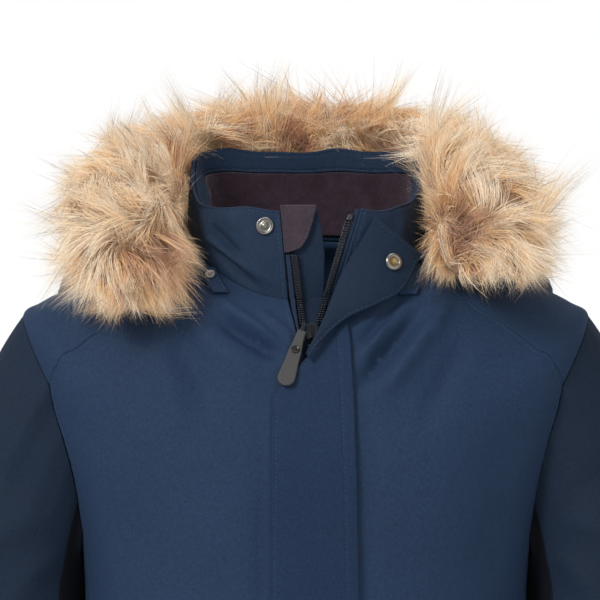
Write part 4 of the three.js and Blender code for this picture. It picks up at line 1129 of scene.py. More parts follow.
def cloth_tables(sizes):
    """Each cut piece: its name, form, out, thickness, pitch, stitch rows and finish."""
    seam = sizes.seam_stitch
    front_rows, back_rows = {"left": [ZIP_STITCH], "right": [seam]}, {"left": [seam], "right": [seam]}
    collar_rows = {"top": [2.4], "left": [ZIP_STITCH], "right": [ZIP_STITCH]}
    facing, lining = collar_inside(FACING_FROM, 0.99, 5.2), collar_inside(0.03, FACING_FROM - 0.01, 6.6)
    guard, wind = strip_patch(CHIN_GUARD), strip_patch(WIND_FLAP, -545)
    storm = strip_patch(STORM_FLAP, -552)
    tab_rows, leg_rows = {"left": [1.8], "right": [1.8]}, {"right": [seam]}
    pieces = [
        ("front_left", front_patch(2), 0, SHELL, FRONT_PITCH, front_rows, "shell"),
        ("front_right", front_patch(1), 0, SHELL, FRONT_PITCH, front_rows, "shell"),
        ("back", back_patch, 0, SHELL, HIDDEN_PITCH, back_rows, "shell"),
        ("collar", collar_patch(-0.012, 1), 0, SHELL, 2.6, collar_rows, "collar"),
        ("collar_facing", facing, 0, 1.6, 2.4, {"top": [2.2], "bottom": [2.0]}, "facing"),
        ("collar_lining", lining, 0, 3.0, 3.0, {}, "fleece"),
        ("chin_guard", guard, 0.9, 3.6, 1.6, {"left": [2.0], "right": [2.0]}, "guard"),
        ("wind_flap", wind, -4.2, 1.6, 3.0, {}, "inner"),
        ("storm_flap", storm, 4.2, SHELL, 2.6, {"left": [2.8], "right": [8.8]}, "flap"),
        ("storm_flap_turned", turned_patch, 0, SHELL, 1.8, {"right": [2.4], "bottom": [2.4]}, "inner"),
        ("hood_tab_right", strip_patch(HOOD_TAB_RIGHT), 3.6, 2.2, 1.6, tab_rows, "shell"),
        ("hood_tab_left", strip_patch(HOOD_TAB_LEFT), 3.6, 2.2, 1.6, tab_rows, "shell"),
    ]
    for sign, word in TWICE.items():
        upper = sleeve_patch(-UNDER_FROM, UNDER_FROM, sign)
        under = sleeve_patch(UNDER_FROM, 1 - UNDER_FROM, sign)
        pieces += [
            ("side_" + word, side_patch(sign), 0, SHELL, HIDDEN_PITCH, {}, "shell"),
            ("shoulder_" + word, shoulder_patch(sign), 0, SHELL, FRONT_PITCH, {}, "shell"),
            # The upper sleeves take a darker copy of the shell colour that paints their shade.
            ("sleeve_" + word, upper, 0, SHELL, FRONT_PITCH, {}, "sleeve"),
            # The under panels take the near-black colour that paints their shadow.
            ("sleeve_under_" + word, under, 0, SHELL, HIDDEN_PITCH, {}, "under"),
            ("leg_front_" + word, leg_patch(False, sign), 0, SHELL, HIDDEN_PITCH, leg_rows, "shell"),
            ("leg_back_" + word, leg_patch(True, sign), 0, SHELL, HIDDEN_PITCH, {}, "shell"),
        ]
    joins = [HOOD_FROM, 180 - CENTRE_STRIP, 180 + CENTRE_STRIP, 360 - HOOD_FROM]
    for name, start, end in zip(("hood_left", "hood_centre", "hood_right"), joins, joins[1:]):
        pieces.append((name, hood_patch(start, end), 1.2, 2.4, HIDDEN_PITCH, {}, "shell"))
    return pieces


def hood_patch(start, end):
    def patch(u, v, out):
        around = np.radians(mix(start, end, u))
        n = normal_of(hood_surface, around, v, -1)
        return hood_surface(around, v) + n * np.asarray(out)[..., None]

    return patch


# The edges of the front's strips: height, from x, to x.
TAPE_RIGHT = [(33, -14.8, -11.6), (0, -11.8, -7.8), (-26, -5.2, -4.2), (-60, -4.2, 0.3), (-600, -4.2, 0.3)]
TAPE_LEFT = [
    (66, 36, 39.4), (35, 27.3, 30), (0, 16.8, 18.8), (-26, 11.4, 12.9), (-60, 6.9, 11.8),
    (-600, 6.9, 11.8),
]
CHAIN_RIGHT = [(33, -11.2, -6.6), (-17, -4.6, 0)]
CHAIN_LEFT = [(57, 28.3, 32.9), (-6.5, 9.9, 14.5), (-17, 7, 11.6)]
CHAIN_CLOSED = [(-31, 0.7, 6.5), (-600, 0.7, 6.5)]
WIND_FLAP = [
    (67, -10.5, 8), (52, -10.5, 11.6), (33, -10.5, 14), (0, -10.5, 13.5), (-60, -10.5, 12),
    (-600, -10.5, 12),
]
CHIN_GUARD = [
    (69, -18.7, 7.6), (56.5, -17.4, 5), (45.6, -16.6, 1.4), (38, -15.9, -3.6), (34.5, -15.6, -12.5),
]
STORM_FLAP = [
    (-12, 26, 28), (-22, 19, 30.5), (-33, 10, 32), (-44, -1, 32.4), (-56, -12, 33.4),
    (-68, -24, 34), (-125, -24.5, 36), (-217, -25, 37.6), (-600, -25, 38),
]
HOOD_TAB_RIGHT = [(22, -76, -66), (15, -76, -63), (4, -67, -56)]
HOOD_TAB_LEFT = [(18, 67, 82), (10, 66, 84), (3, 68, 80)]
TOP_STOP = [(62, 30.5, 34.6), (57.6, 29, 33.2)]
CHAINS = [("zip_chain_right", CHAIN_RIGHT, -16.5), ("zip_chain_left", CHAIN_LEFT, -16.5),
          ("zip_chain_closed", CHAIN_CLOSED, -545)]
TAPES = [("zip_tape_right", TAPE_RIGHT), ("zip_tape_left", TAPE_LEFT)]

# Each finish: its name, its colour and the slot it belongs to.
FINISHES = {
    "shell": ("Shell cloth", (0.0221, 0.0472, 0.1017), "shell"),
    "flap": ("Storm flap", (0.0160, 0.0372, 0.0850), "shell"),
    "collar": ("Collar", (0.0175, 0.0366, 0.0758), "shell"),
    "facing": ("Collar facing", (0.0166, 0.0360, 0.0754), "shell"),
    "inner": ("Cloth turned inside out", (0.0117, 0.0255, 0.0534), "shell"),
    # Painted shade: the sleeves are the shell's cloth, given a darker copy of its colour for the shade at
    # the sides.
    "sleeve": ("Sleeves", (0.0130, 0.0255, 0.0510), "shell"),
    # Painted shade: the under-sleeves are the shell's navy cloth, coloured near black for the shadow they
    # lie in.
    "under": ("Under the sleeves", (0.0052, 0.0062, 0.0105), "shell"),
    "fleece": ("Fleece lining", (0.0409, 0.0254, 0.0370), "fleece"),
    "guard": ("Chin guard", (0.0636, 0.0451, 0.0605), "guard_fleece"),
    "tape": ("Zip tapes", (0.0200, 0.0380, 0.0720), "zip_tape"),
    "coil": ("Zip teeth", (0.0175, 0.0225, 0.0360), "zip_coil"),
    "thread": ("Thread", (0.0360, 0.0740, 0.1350), "shell"),
    "nickel": ("Snap", (0.33, 0.315, 0.295), "snap_metal"),
    "brass": ("Snap's well", (0.40, 0.29, 0.13), "snap_metal"),
    "dark_metal": ("Slider", (0.0110, 0.0150, 0.0240), "slider_metal"),
    "bronze": ("Pull tab's rivet", (0.0110, 0.0090, 0.0080), "slider_metal"),
    "rubber": ("Pull tab", (0.0590, 0.0560, 0.0570), "tab_rubber"),
}
LACQUER, METAL = {"roughness": 0.24}, {"metal": 1.0, "roughness": 0.3}
# Finishes other than woven cloth and fleece: a word for their material and how they shine.
SMOOTH = {
    "bronze": ("Lacquer bronze", LACQUER), "dark_metal": ("Lacquer dark_metal", LACQUER),
    "nickel": ("Metal nickel", METAL), "brass": ("Metal brass", METAL),
    "rubber": ("Rubber", {"roughness": 0.55}),
    "thread": ("Thread thread", {"roughness": 0.5}), "coil": ("Thread coil", {"roughness": 0.22}),
}
MATERIALS = {}


def material_for(key):
    if key not in MATERIALS:
        colour = tuple(getattr(bpy.context.scene.snowsuit_colours, key))
        if key in SMOOTH:
            name, shine = SMOOTH[key]
            MATERIALS[key] = smooth_material(name, colour, **shine)
        elif key in ("fleece", "guard"):
            MATERIALS[key] = cloth_material("Fleece " + key, colour, nap_group, sheen=0.5, roughness=0.9)
        else:
            MATERIALS[key] = cloth_material("Cloth " + key, colour, weave_group)
    return MATERIALS[key]


def slot_of(key):
    return FINISHES[key][2]


CLOTHS = {}


def build_cloth(piece):
    name, patch, out, thick, pitch, rows, key = piece
    cloth = Cloth(name, patch, out, thick, pitch, rows)
    obj = cloth.make(material_for(key))
    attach(obj, GARMENT)
    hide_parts(name)
    slot_of(key)
    CLOTHS[name] = cloth
    return obj


# ---------------------------------------------------------------- hard pieces


def rings_of_faces(rings, sides):
    """Faces between closed rings of points, one ring after another."""
    pairs = [(i, (i + 1) % sides) for i in range(sides)]
    ends = [(k * sides, (k + 1) * sides) for k in range(rings - 1)]
    return [[low + i, low + j, high + j, high + i] for low, high in ends for i, j in pairs]


def lathe(profile, sides=48):
    """Points and faces of a shape turned about +Z, from radius and height pairs; it ends at radius 0."""
    rings = [(r, z) for r, z in profile if r > 0]
    angle = np.linspace(0, 2 * math.pi, sides, endpoint=False)
    points = [[r * math.cos(a), r * math.sin(a), z] for r, z in rings for a in angle]
    low, high = len(points), len(points) + 1
    points += [[0, 0, profile[0][1]], [0, 0, profile[-1][1]]]
    faces = rings_of_faces(len(rings), sides)
    top = (len(rings) - 1) * sides
    for i in range(sides):
        j = (i + 1) % sides
        faces += [[low, j, i], [high, top + i, top + j]]
    return np.array(points), faces


def framed(points, origin, x, y, z):
    return origin + points[:, :1] * x + points[:, 1:2] * y + points[:, 2:] * z


def frame_from(normal, up=(0.0, 0.0, 1.0)):
    z = unit(np.asarray(normal, float))
    x = unit(np.cross(up, z))
    return x, np.cross(z, x), z


def rounded_plate(outline, depth, bevel):
    """A flat shape of an outline, its edges rounded, across +-depth/2."""
    outline = np.asarray(outline, float)
    count = len(outline)
    ahead, behind = np.roll(outline, -1, 0), np.roll(outline, 1, 0)
    tangent = unit(ahead - behind)
    inward = stack(-tangent[:, 1], tangent[:, 0])
    rings = []
    for k in range(5):
        angle = math.pi / 2 * k / 4
        rings.append((bevel * (1 - math.cos(angle)), depth / 2 - bevel * (1 - math.sin(angle))))
    rings += [(bevel + 0.5, depth / 2), (bevel + 0.9, depth / 2)]
    levels = [(a, -b) for a, b in rings[::-1]] + rings
    points = np.vstack([np.column_stack([outline + inward * a, np.full(count, b)]) for a, b in levels])
    faces = rings_of_faces(len(levels), count)
    faces.append(list(range(count))[::-1])
    faces.append([(len(levels) - 1) * count + i for i in range(count)])
    return points, faces


def front_place(x, z, out):
    foot = front_view(x, z, out)
    return foot, unit(front_view(x, z, out + 1.0) - foot)


STUD = [
    (0, 0), (5.7, 0), (6.2, 0.3), (6.4, 0.9), (6.2, 1.5), (5.7, 1.85), (5.2, 1.7), (4.9, 1.2),
    (4.6, 0.9), (3.4, 0.8), (3.1, 1.0), (2.9, 1.5), (2.6, 1.7), (2.3, 1.6), (2.0, 1.5), (2.0, 2.0),
    (2.3, 2.6), (2.2, 3.2), (1.7, 3.7), (0.9, 3.9), (0, 3.95),
]
SOCKET = [
    (0, 0), (5.6, 0), (6.2, 0.4), (6.4, 1.1), (6.2, 1.8), (5.6, 2.3), (4.8, 2.6), (4.0, 2.65),
    (3.5, 2.3), (3.3, 1.7), (3.0, 1.4),
]
SOCKET_WELL = [
    (0, 0.5), (3.1, 0.5), (3.1, 1.5), (2.9, 1.6), (2.3, 0.9), (1.4, 0.75), (0, 0.7),
]


def hard_piece(name, shape, place, key, body=GARMENT, node_name=None):
    """A hard piece from a shape's points and faces, at a place: its origin and three ways."""
    points, faces = shape
    obj = new_object(name, framed(points, *place), faces, material_for(key))
    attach(obj, body)
    if node_name:
        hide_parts(node_name)
    return obj


def build_snap(name, profile, foot, normal, key, node_name=None):
    hard_piece(name, lathe(profile), (foot, *frame_from(normal)), key, node_name=node_name)


HINGE, HINGE_AXIS = np.array(JOINT["pos_m"]) / MM, np.array(JOINT["axis"])
TAB_LEAN = math.radians(27.42)


def tab_frame(along=0.0):
    """The pull tab's place: a point this far along it from its hinge, its axis, its way and its face."""
    hanging = unit(np.cross(np.cross(HINGE_AXIS, [0, 0, -1]), HINGE_AXIS))
    way = hanging * math.cos(TAB_LEAN) + np.cross(HINGE_AXIS, hanging) * math.sin(TAB_LEAN)
    return HINGE + way * along, HINGE_AXIS, way, np.cross(HINGE_AXIS, way)


def tab_outline():
    """Across and along the pull tab: a neck, a shoulder and a round end."""
    half, end = 6.4, 43.6
    neck, body_side = [(3.2, 5.2), (3.3, 9), (3.6, 14), (4.3, 19)], [(4.9, 23), (5.0, 27), (5.3, 32)]
    side = [*neck, *body_side, (5.9, 38), (6.35, 42)]
    turn = np.linspace(0, math.pi, 25)[1:-1]
    tip = [(half * math.cos(a), end + half * math.sin(a)) for a in turn]
    return np.array([*side, *tip, *[(-x, y) for x, y in side[::-1]]])


TONGUE = [(1.5, -1.6), (1.5, 7), (-1.5, 7), (-1.5, -1.6)]
EYE = [(3.1, 0.8), (3.15, 1.2), (3.05, 1.7), (2.7, 2.0), (2.2, 1.9), (1.6, 1.45), (1.2, 1.6), (0, 1.6)]
EYE_BACK, EYE_ALONG = [(0, -1.3), (3.1, -1.3)], 21
TAB_DEPTH, TONGUE_DEPTH = 2.4, 2.2


def build_pull_tab():
    tab, tongue = rounded_plate(tab_outline(), TAB_DEPTH, 0.7), rounded_plate(TONGUE, TONGUE_DEPTH, 0.3)
    hard_piece("pull_tab_rubber", tab, tab_frame(), "rubber", PULL, "pull_tab")
    hard_piece("pull_loop", tongue, tab_frame(), "dark_metal", PULL)
    rivet = lathe(EYE_BACK + EYE)
    hard_piece("pull_rivet_metal", rivet, tab_frame(EYE_ALONG), "bronze", PULL, "pull_rivet")


# Half outlines of the slider's plates and of its bridge: across, and along from its wide end.
SLIDER_SIDE = [(2.8, -6.3), (4.5, -4.2), (4.8, -1), (4.6, 2), (3.2, 5.6), (2.2, 6.3), (0.7, 5.4)]
BRIDGE_SIDE = [(1.0, -5.5), (1.3, 0), (1.1, 5.0), (0.5, 6)]


def build_slider():
    foot, normal = front_place(3.8, -23.8, -0.15)
    way = np.cross([1, 0, 0], normal)
    place = foot, np.cross(way, normal), way, normal
    levels = [("slider_top", SLIDER_SIDE, 1.8, 1.6, 0.4), ("slider_bottom", SLIDER_SIDE, -2.0, 1.2, 0.4),
              ("slider_bridge", BRIDGE_SIDE, 3.6, 3.4, 0.6)]
    for name, side, height, depth, bevel in levels:
        outline = [*side, *[(-x, y) for x, y in side[::-1]]]
        points, faces = rounded_plate(outline, depth, bevel)
        points[:, 2] += height
        stands_for = "slider" if name == "slider_top" else None
        hard_piece(name, (points, faces), place, "dark_metal", node_name=stands_for)


TOOTH = {"Length": 1.15, "Width": 3.4, "Height": 2.4}
TEETH_PITCH, TEETH_LIFT, TEETH_AT = 2.05, 1.25, (0.28, 0.72)


def build_zip():
    """Tapes as thin cloth, and each chain a core with two rows of coil teeth."""
    for name, table in TAPES:
        build_cloth((name, strip_patch(table, -545), -0.8, 1.2, 2.4, {}, "tape"))
    for name, table, low in CHAINS:
        core = Cloth(name, strip_patch(table, low), -1.0, 0.9, 2.4)
        obj = core.make(material_for("coil"))
        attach(obj, GARMENT)
        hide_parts(name)
        v = np.linspace(0.002, 0.998, max(20, int((table[0][0] - low) / 3)))
        rows = [row_on(core, np.full_like(v, share), v, TEETH_LIFT) for share in TEETH_AT]
        teeth = beads(name + "_teeth", rows, material_for("coil"), TEETH_PITCH, Segments=8, Rings=6,
                      **{key: value * MM for key, value in TOOTH.items()})
        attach(teeth, GARMENT)


def build_top_stop():
    stop = Cloth("zip_top_stop", strip_patch(TOP_STOP), 1.2, 2.6, 0.8)
    obj = stop.make(material_for("coil"))
    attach(obj, GARMENT)
    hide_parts("zip_top_stop")


STITCH = {"Length": 2.3, "Width": 0.5, "Height": 0.45}


def build_stitches(sizes):
    rows = {}
    for name, cloth in CLOTHS.items():
        for side, distances in cloth.rows.items():
            for distance in distances:
                u, v = cloth.stitch_row(side, distance)
                if len(u) > 2:
                    rows.setdefault(name, []).append(row_on(cloth, u, v, -DENT))
    for name, made in rows.items():
        obj = beads(name + "_stitches", made, material_for("thread"), sizes.stitch_pitch / MM,
                    **{key: value * MM for key, value in STITCH.items()})
        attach(obj, GARMENT)


# ---------------------------------------------------------------- fur

BASE_SHARE = 0.62
WHORLS = np.array([[-92, 62], [96, 62]], float)
FUR_FLOOR = {"left": 10, "right": -12}
FUR_FRONT, FUR_BACK = 128, 147
GUARD_SHARE = 0.15

# Patches of other tones as seen from the front: x, z, how far, and how much darker (or lighter); round the
# collar's top they are partly the roots' brown, partly painted shade.
TONE_AND_SHADE_PATCHES = np.array([
    [-92, 42, 18, 1.6], [-112, 34, 20, 1.5], [-112, 68, 22, -0.5], [-132, 20, 17, 1.5],
    [-48, 124, 13, 2.0], [-14, 118, 16, 2.2], [-66, 106, 13, 1.4], [60, 104, 16, 2.2],
    [72, 92, 12, 1.4], [76, 44, 20, 1.2], [104, 62, 18, 1.8], [112, 48, 14, 1.4],
    [-150, 92, 44, -0.9], [-176, 40, 40, -1.0], [86, 100, 30, -0.5], [150, 88, 36, -0.6],
    [-130, 2, 22, 0.5], [150, 40, 24, -0.4], [0, 150, 26, 0.7], [30, 146, 24, 0.7],
    [-90, 108, 12, 1.2], [88, 46, 8, -1.0],
], float)


def droop(p):
    """How far the roll's upper outer parts sink on each side."""
    left = 17 * smooth(85, 170, p[..., 0]) * smooth(20, 95, p[..., 2])
    right = 9 * smooth(60, 120, -p[..., 0]) * smooth(40, 100, p[..., 2])
    return left + right


def base_roll(at, angle, share=BASE_SHARE):
    centre, wide, high, way, side, up = fur_frame(at)
    reach = stack(np.cos(angle), np.sin(angle))
    out = side * (wide * share * reach[..., 0])[..., None] + up * (high * share * reach[..., 1])[..., None]
    normal = unit(side * (reach[..., 0] / wide)[..., None] + up * (reach[..., 1] / high)[..., None])
    p = centre + out
    far = (np.abs(p[..., 0] / 93) ** 3 + np.abs(p[..., 1] / 66) ** 3) ** (1 / 3)
    share = np.maximum(1 / np.maximum(far, 0.3) - 1, 0) * smooth(128, 112, p[..., 2])
    p = p + p * [1, 1, 0] * share[..., None]
    return p - stack(0, 0, droop(p)), normal, way


def drift(seed, p, length, parts=5):
    """A smooth uneven value at points in space, about -1 to 1."""
    rng = np.random.default_rng(seed)
    total = np.zeros(p.shape[:-1])
    for _ in range(parts):
        way = unit(rng.normal(size=3)) * 2 * math.pi / (length * rng.uniform(0.7, 1.4))
        total += np.sin(p @ way + rng.uniform(0, 2 * math.pi))
    return total / math.sqrt(parts)


def fur_flow(p, normal):
    """The way the hair leans on the roll: out from the whorls, turning unevenly."""
    away = p[:, None, [0, 2]] - WHORLS
    far = np.linalg.norm(away, axis=-1, keepdims=True)
    flow = unit((away / np.maximum(far, 6) ** 2.2).sum(1))
    turn = 0.6 * drift(5, p, 85) + 0.85 * drift(6, p, 34) + 0.55 * drift(8, p, 15)
    turn += 1.2 * np.exp(-((far.min(1)[:, 0] / 36) ** 2))
    c, s = np.cos(turn), np.sin(turn)
    x, z = flow[:, 0] * c - flow[:, 1] * s, flow[:, 0] * s + flow[:, 1] * c
    flow = stack(x, -0.1 + 0.4 * drift(9, p, 28), z)
    return unit(flow - normal * (flow * normal).sum(-1, keepdims=True))


def fur_tone(p, rng):
    """From cream through golden and pinkish to brown; the darker patches round the collar's top are partly
    painted shade.
    """
    tone = 0.34 + 0.45 * drift(11, p, 46) + 0.62 * drift(12, p, 17)
    for x, z, far, shift in TONE_AND_SHADE_PATCHES:
        tone += shift * np.exp(-(((p[:, 0] - x) ** 2 + (p[:, 2] - z) ** 2) / far**2))
    return np.clip(tone + rng.normal(0, 0.22, len(p)), 0, 3)


def at_share(at):
    """How far from the nearer end of the fur's path, from 0 to 0.5."""
    share = at / FUR_END
    return np.minimum(share, 1 - share)


# The opening that stays clear of hair, seen from the front: height, and half width on the right and left.
CLEAR = np.array([
    [-20, 60, 62], [10, 66, 72], [40, 71, 78], [64, 74, 79], [94, 85, 81], [104, 78, 74],
    [112, 60, 58], [116, 0, 0],
], float)


def in_the_way(p, slack):
    """Which points hang before or in the collar's mouth."""
    right, left = (np.interp(p[:, 2] - slack, CLEAR[:, 0], CLEAR[:, k]) for k in (1, 2))
    limit = np.where(p[:, 0] < 0, right, left)
    return (np.abs(p[:, 0]) < limit + slack) & (p[:, 1] < 60)


def free_share(p, aim, bend, curl, low, rng):
    """How much of each hair stays above its floor and out of the collar's mouth."""
    slack = rng.normal(0, 3.5, len(p))
    free = np.zeros(len(p))
    going = np.ones(len(p), bool)
    for t in np.arange(1, 11) / 10:
        at = p + aim * t + bend * t**2 + curl * t**3
        inside = (at[:, 1] > -FUR_FRONT - 3) & (at[:, 1] < FUR_BACK + 3)
        going &= ~in_the_way(at, slack) & (at[:, 2] > low) & inside
        free = np.where(going, t, free)
    return free


def fur_floor(p):
    """The height the hair's lower ends come down to on each side."""
    return mix(FUR_FLOOR["right"], FUR_FLOOR["left"], smooth(-30, 30, p[:, 0]))


def nearest(points, others):
    tree = KDTree(len(others))
    for i, other in enumerate(others):
        tree.insert(other, i)
    tree.balance()
    return np.array([tree.find(p)[1] for p in points])


# How a hair grows, in shares of its length: outwards, along the flow, downwards, and its scatter.
AIM_OUT, AIM_FLOW, AIM_SCATTER = 0.68, 0.85, 0.15
BEND_FLOW, BEND_IN, BEND_DOWN, BEND_SCATTER = 0.45, 0.30, 0.10, 0.09
CURL_SCATTER = 0.10
# The same for the clumps that hairs gather in, and how many hairs share one.
CLUMP_LEAN, CLUMP_CURL, CLUMP_TONE, HAIRS_IN_CLUMP = 0.26, 0.5, 0.42, 44
# A hair that keeps less than this share of its length is left out.
SHORTEST_SHARE = 0.35
# Length along the fur's path, from its end to its middle.
LENGTH_AT, LENGTH_THERE = [0, 0.06, 0.16, 0.3, 0.5], [0.8, 0.9, 1, 0.95, 0.88]


def clump_tips(own_tip, which, count):
    """Where each clump's hairs end on average."""
    sums = np.zeros((count, 3))
    np.add.at(sums, which, own_tip)
    return sums / np.maximum(np.bincount(which, minlength=count), 1)[:, None]


def hair_lengths(sizes, at, p, normal, guard, rng):
    """Each hair's length in millimetres: uneven, shorter at the path's ends and on top at the sides."""
    length = sizes.hair_length * 1000 * np.clip(rng.normal(1, 0.15, len(p)), 0.5, 1.15)
    length *= np.interp(at_share(at), LENGTH_AT, LENGTH_THERE)
    length *= 1 + 0.13 * drift(15, p, 22)
    length *= 1 - 0.26 * smooth(0.2, 0.9, normal[:, 2]) * smooth(50, 95, np.abs(p[:, 0]))
    return length * np.where(guard, rng.uniform(0.92, 1.12, len(p)), 1)


def strands(sizes):
    """Every hair: its root, aim, bend and curl in metres, its side, width, tone and shade."""
    rng = np.random.default_rng(sizes.seed)
    count = sizes.hairs
    at = rng.uniform(0.0, FUR_END, count * 3)
    room = fur_at(at)[1] / 60
    at = at[rng.uniform(0, 1, len(at)) < room]
    angle = rng.uniform(0, 2 * math.pi, len(at))
    p, normal, _ = base_roll(at, angle)
    kept = np.flatnonzero(p[:, 2] > fur_floor(p) + 11)[:count]
    at, p, normal = at[kept], p[kept], normal[kept]
    flow = fur_flow(p, normal)
    guard = rng.uniform(0, 1, len(p)) < GUARD_SHARE
    length = hair_lengths(sizes, at, p, normal, guard, rng)
    clumps = p[rng.permutation(len(p))[: len(p) // HAIRS_IN_CLUMP]]
    which = nearest(p, clumps)
    lead_rng = np.random.default_rng(sizes.seed + 1)
    lead_lean = lead_rng.normal(0, CLUMP_LEAN, (len(clumps), 3))
    lead_curl = lead_rng.normal(0, CLUMP_CURL, (len(clumps), 3))
    down = np.array([0, 0, -1.0])
    aim = unit(normal * AIM_OUT + flow * AIM_FLOW + lead_lean[which] + rng.normal(0, AIM_SCATTER, p.shape))
    bend = flow * BEND_FLOW - normal * BEND_IN + down * BEND_DOWN + rng.normal(0, BEND_SCATTER, p.shape)
    curl = lead_curl[which] + rng.normal(0, CURL_SCATTER, p.shape)
    aim, bend, curl = (v * length[:, None] for v in (aim, bend, curl))
    own_tip = p + aim + bend + curl
    tips = clump_tips(own_tip, which, len(clumps))
    pull = rng.uniform(0.05, 0.6, (len(p), 1)) * np.where(guard, 1.2, 1)[:, None]
    bend = bend + (tips[which] - own_tip) * pull
    tip = p[:, 1] + aim[:, 1] + bend[:, 1] + curl[:, 1]
    foremost, hindmost = -FUR_FRONT + rng.uniform(0, 8, len(p)), FUR_BACK - rng.uniform(0, 8, len(p))
    bend[:, 1] += np.clip(tip, foremost, hindmost) - tip
    low = fur_floor(p) + rng.normal(0, 4, len(p)) - np.where(guard, 9, 0)
    free = free_share(p, aim, bend, curl, low, rng)
    aim, bend, curl = aim * free[:, None], bend * free[:, None] ** 2, curl * free[:, None] ** 3
    across = unit(np.cross(aim, normal) + rng.normal(0, 0.35, p.shape) * length[:, None])
    tone = fur_tone(p + aim * 0.6, rng) + CLUMP_TONE * lead_rng.normal(0, 1, len(clumps))[which]
    shade = np.clip(rng.normal(1, 0.10, len(p)), 0.6, 1.25)
    width = sizes.hair_width * rng.uniform(0.7, 1.3, len(p)) * np.where(guard, 1.3, 1)
    tipped = np.where(guard, rng.uniform(0.6, 1, len(p)), rng.uniform(0, 0.12, len(p)))
    shape = {"root": p - normal * 2, "aim": aim, "bend": bend, "curl": curl}
    hairs = {key: value * MM for key, value in shape.items()}
    hairs |= {"side": across, "width": width, "tone": np.clip(tone, 0, 3), "shade": shade, "tipped": tipped}
    long_enough = free > SHORTEST_SHARE
    return {key: value[long_enough] for key, value in hairs.items()}, at[long_enough]


ROLL_RINGS, ROLL_SIDES = 73, 28
# How far over the hair's lower ends the roll ends, and how much of what hangs lower it keeps.
ROLL_RISE, ROLL_REST = 12, 0.15


def build_fur(sizes):
    rings, sides = ROLL_RINGS, ROLL_SIDES
    at = np.linspace(0, FUR_END, rings)
    angle = np.linspace(0, 2 * math.pi, sides, endpoint=False)
    grid = base_roll(*np.meshgrid(at, angle, indexing="ij"))[0]
    floor = fur_floor(grid.reshape(-1, 3)).reshape(grid.shape[:2]) + ROLL_RISE
    grid[..., 2] = np.where(grid[..., 2] < floor, floor - ROLL_REST * (floor - grid[..., 2]), grid[..., 2])
    points = np.vstack([grid.reshape(-1, 3), [grid[0].mean(0), grid[-1].mean(0)]])
    last = (rings - 1) * sides
    faces = rings_of_faces(rings, sides)
    faces += [[rings * sides, (i + 1) % sides, i] for i in range(sides)]
    faces += [[rings * sides + 1, last + i, last + (i + 1) % sides] for i in range(sides)]
    skin = cloth_material("Fur backing", FUR_SKIN, nap_group, sheen=0.1, roughness=0.9)
    roll = new_object("fur_backing", points, faces, skin)
    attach(roll, GARMENT)
    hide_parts("fur_trim")
    hairs, where = strands(sizes)
    material = fur_material()
    parts = sizes.fur_parts
    part = np.minimum((where / FUR_END * parts).astype(int), parts - 1)
    for k in range(parts):
        chosen = part == k
        values = {key: value[chosen] for key, value in hairs.items()}
        obj = points_object(f"fur_{k + 1}", values["root"], **values)
        obj = made_by(obj, strand_tree(), material, {"Joints": sizes.hair_joints})
        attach(obj, GARMENT)


# ---------------------------------------------------------------- stage


FLOOR_HALF, FLOOR_Z = 8, -1.045
EYE_AT, AIM_AT = (-0.0043, -2.2, 0), (0, 0, -0.02)
# The place and width of each lamp.
LAMPS = {"key": ((-1.8, -2.3, 1.7), 0.9), "fill": ((1.6, -2.8, 0.5), 1.8), "top": ((0.0, 0.4, 2.2), 1.4)}


def build_stage(sizes):
    scene = bpy.context.scene
    scene.view_settings.view_transform = "Standard"
    world = bpy.data.worlds.new("Studio") if scene.world is None else scene.world
    scene.world = world
    world.use_nodes = True
    tree = world.node_tree
    background = tree.nodes["Background"]
    background.inputs["Color"].default_value = (1, 1, 1, 1)
    seen = node(tree, "ShaderNodeLightPath").outputs["Is Camera Ray"]
    tree.links.new(math_node(tree, "MAXIMUM", seen, sizes.sky), background.inputs["Strength"])
    floor = bpy.data.meshes.new("floor")
    corners = [(x * FLOOR_HALF, y * FLOOR_HALF, FLOOR_Z) for x, y in ((-1, -1), (1, -1), (1, 1), (-1, 1))]
    floor.from_pydata(corners, [], [(0, 1, 2, 3)])
    material, tree, shader = blank("Pale floor")
    finish_with(tree, shader, Base_Color=(0.82, 0.82, 0.82, 1), Roughness=0.9)
    floor.materials.append(material)
    ground = bpy.data.objects.new("floor", floor)
    scene.collection.objects.link(ground)
    for name, (place, size) in LAMPS.items():
        lamp = bpy.data.lights.new(name, "AREA")
        lamp.shape, lamp.size, lamp.energy = "DISK", size, getattr(sizes, name)
        obj = bpy.data.objects.new(name, lamp)
        obj.location = place
        way = Vector(AIM_AT) - Vector(place)
        obj.rotation_euler = way.to_track_quat("-Z", "Y").to_euler()
        scene.collection.objects.link(obj)
    camera = bpy.data.cameras.new("camera")
    camera.sensor_width, camera.lens = 36, sizes.lens
    eye = bpy.data.objects.new("camera", camera)
    eye.location = EYE_AT
    eye.rotation_euler = (math.pi / 2, 0, 0)
    scene.collection.objects.link(eye)
    scene.camera = eye


# ---------------------------------------------------------------- add-on


LENGTH = {"subtype": "DISTANCE", "unit": "LENGTH"}
POWER = {"subtype": "POWER", "unit": "POWER"}


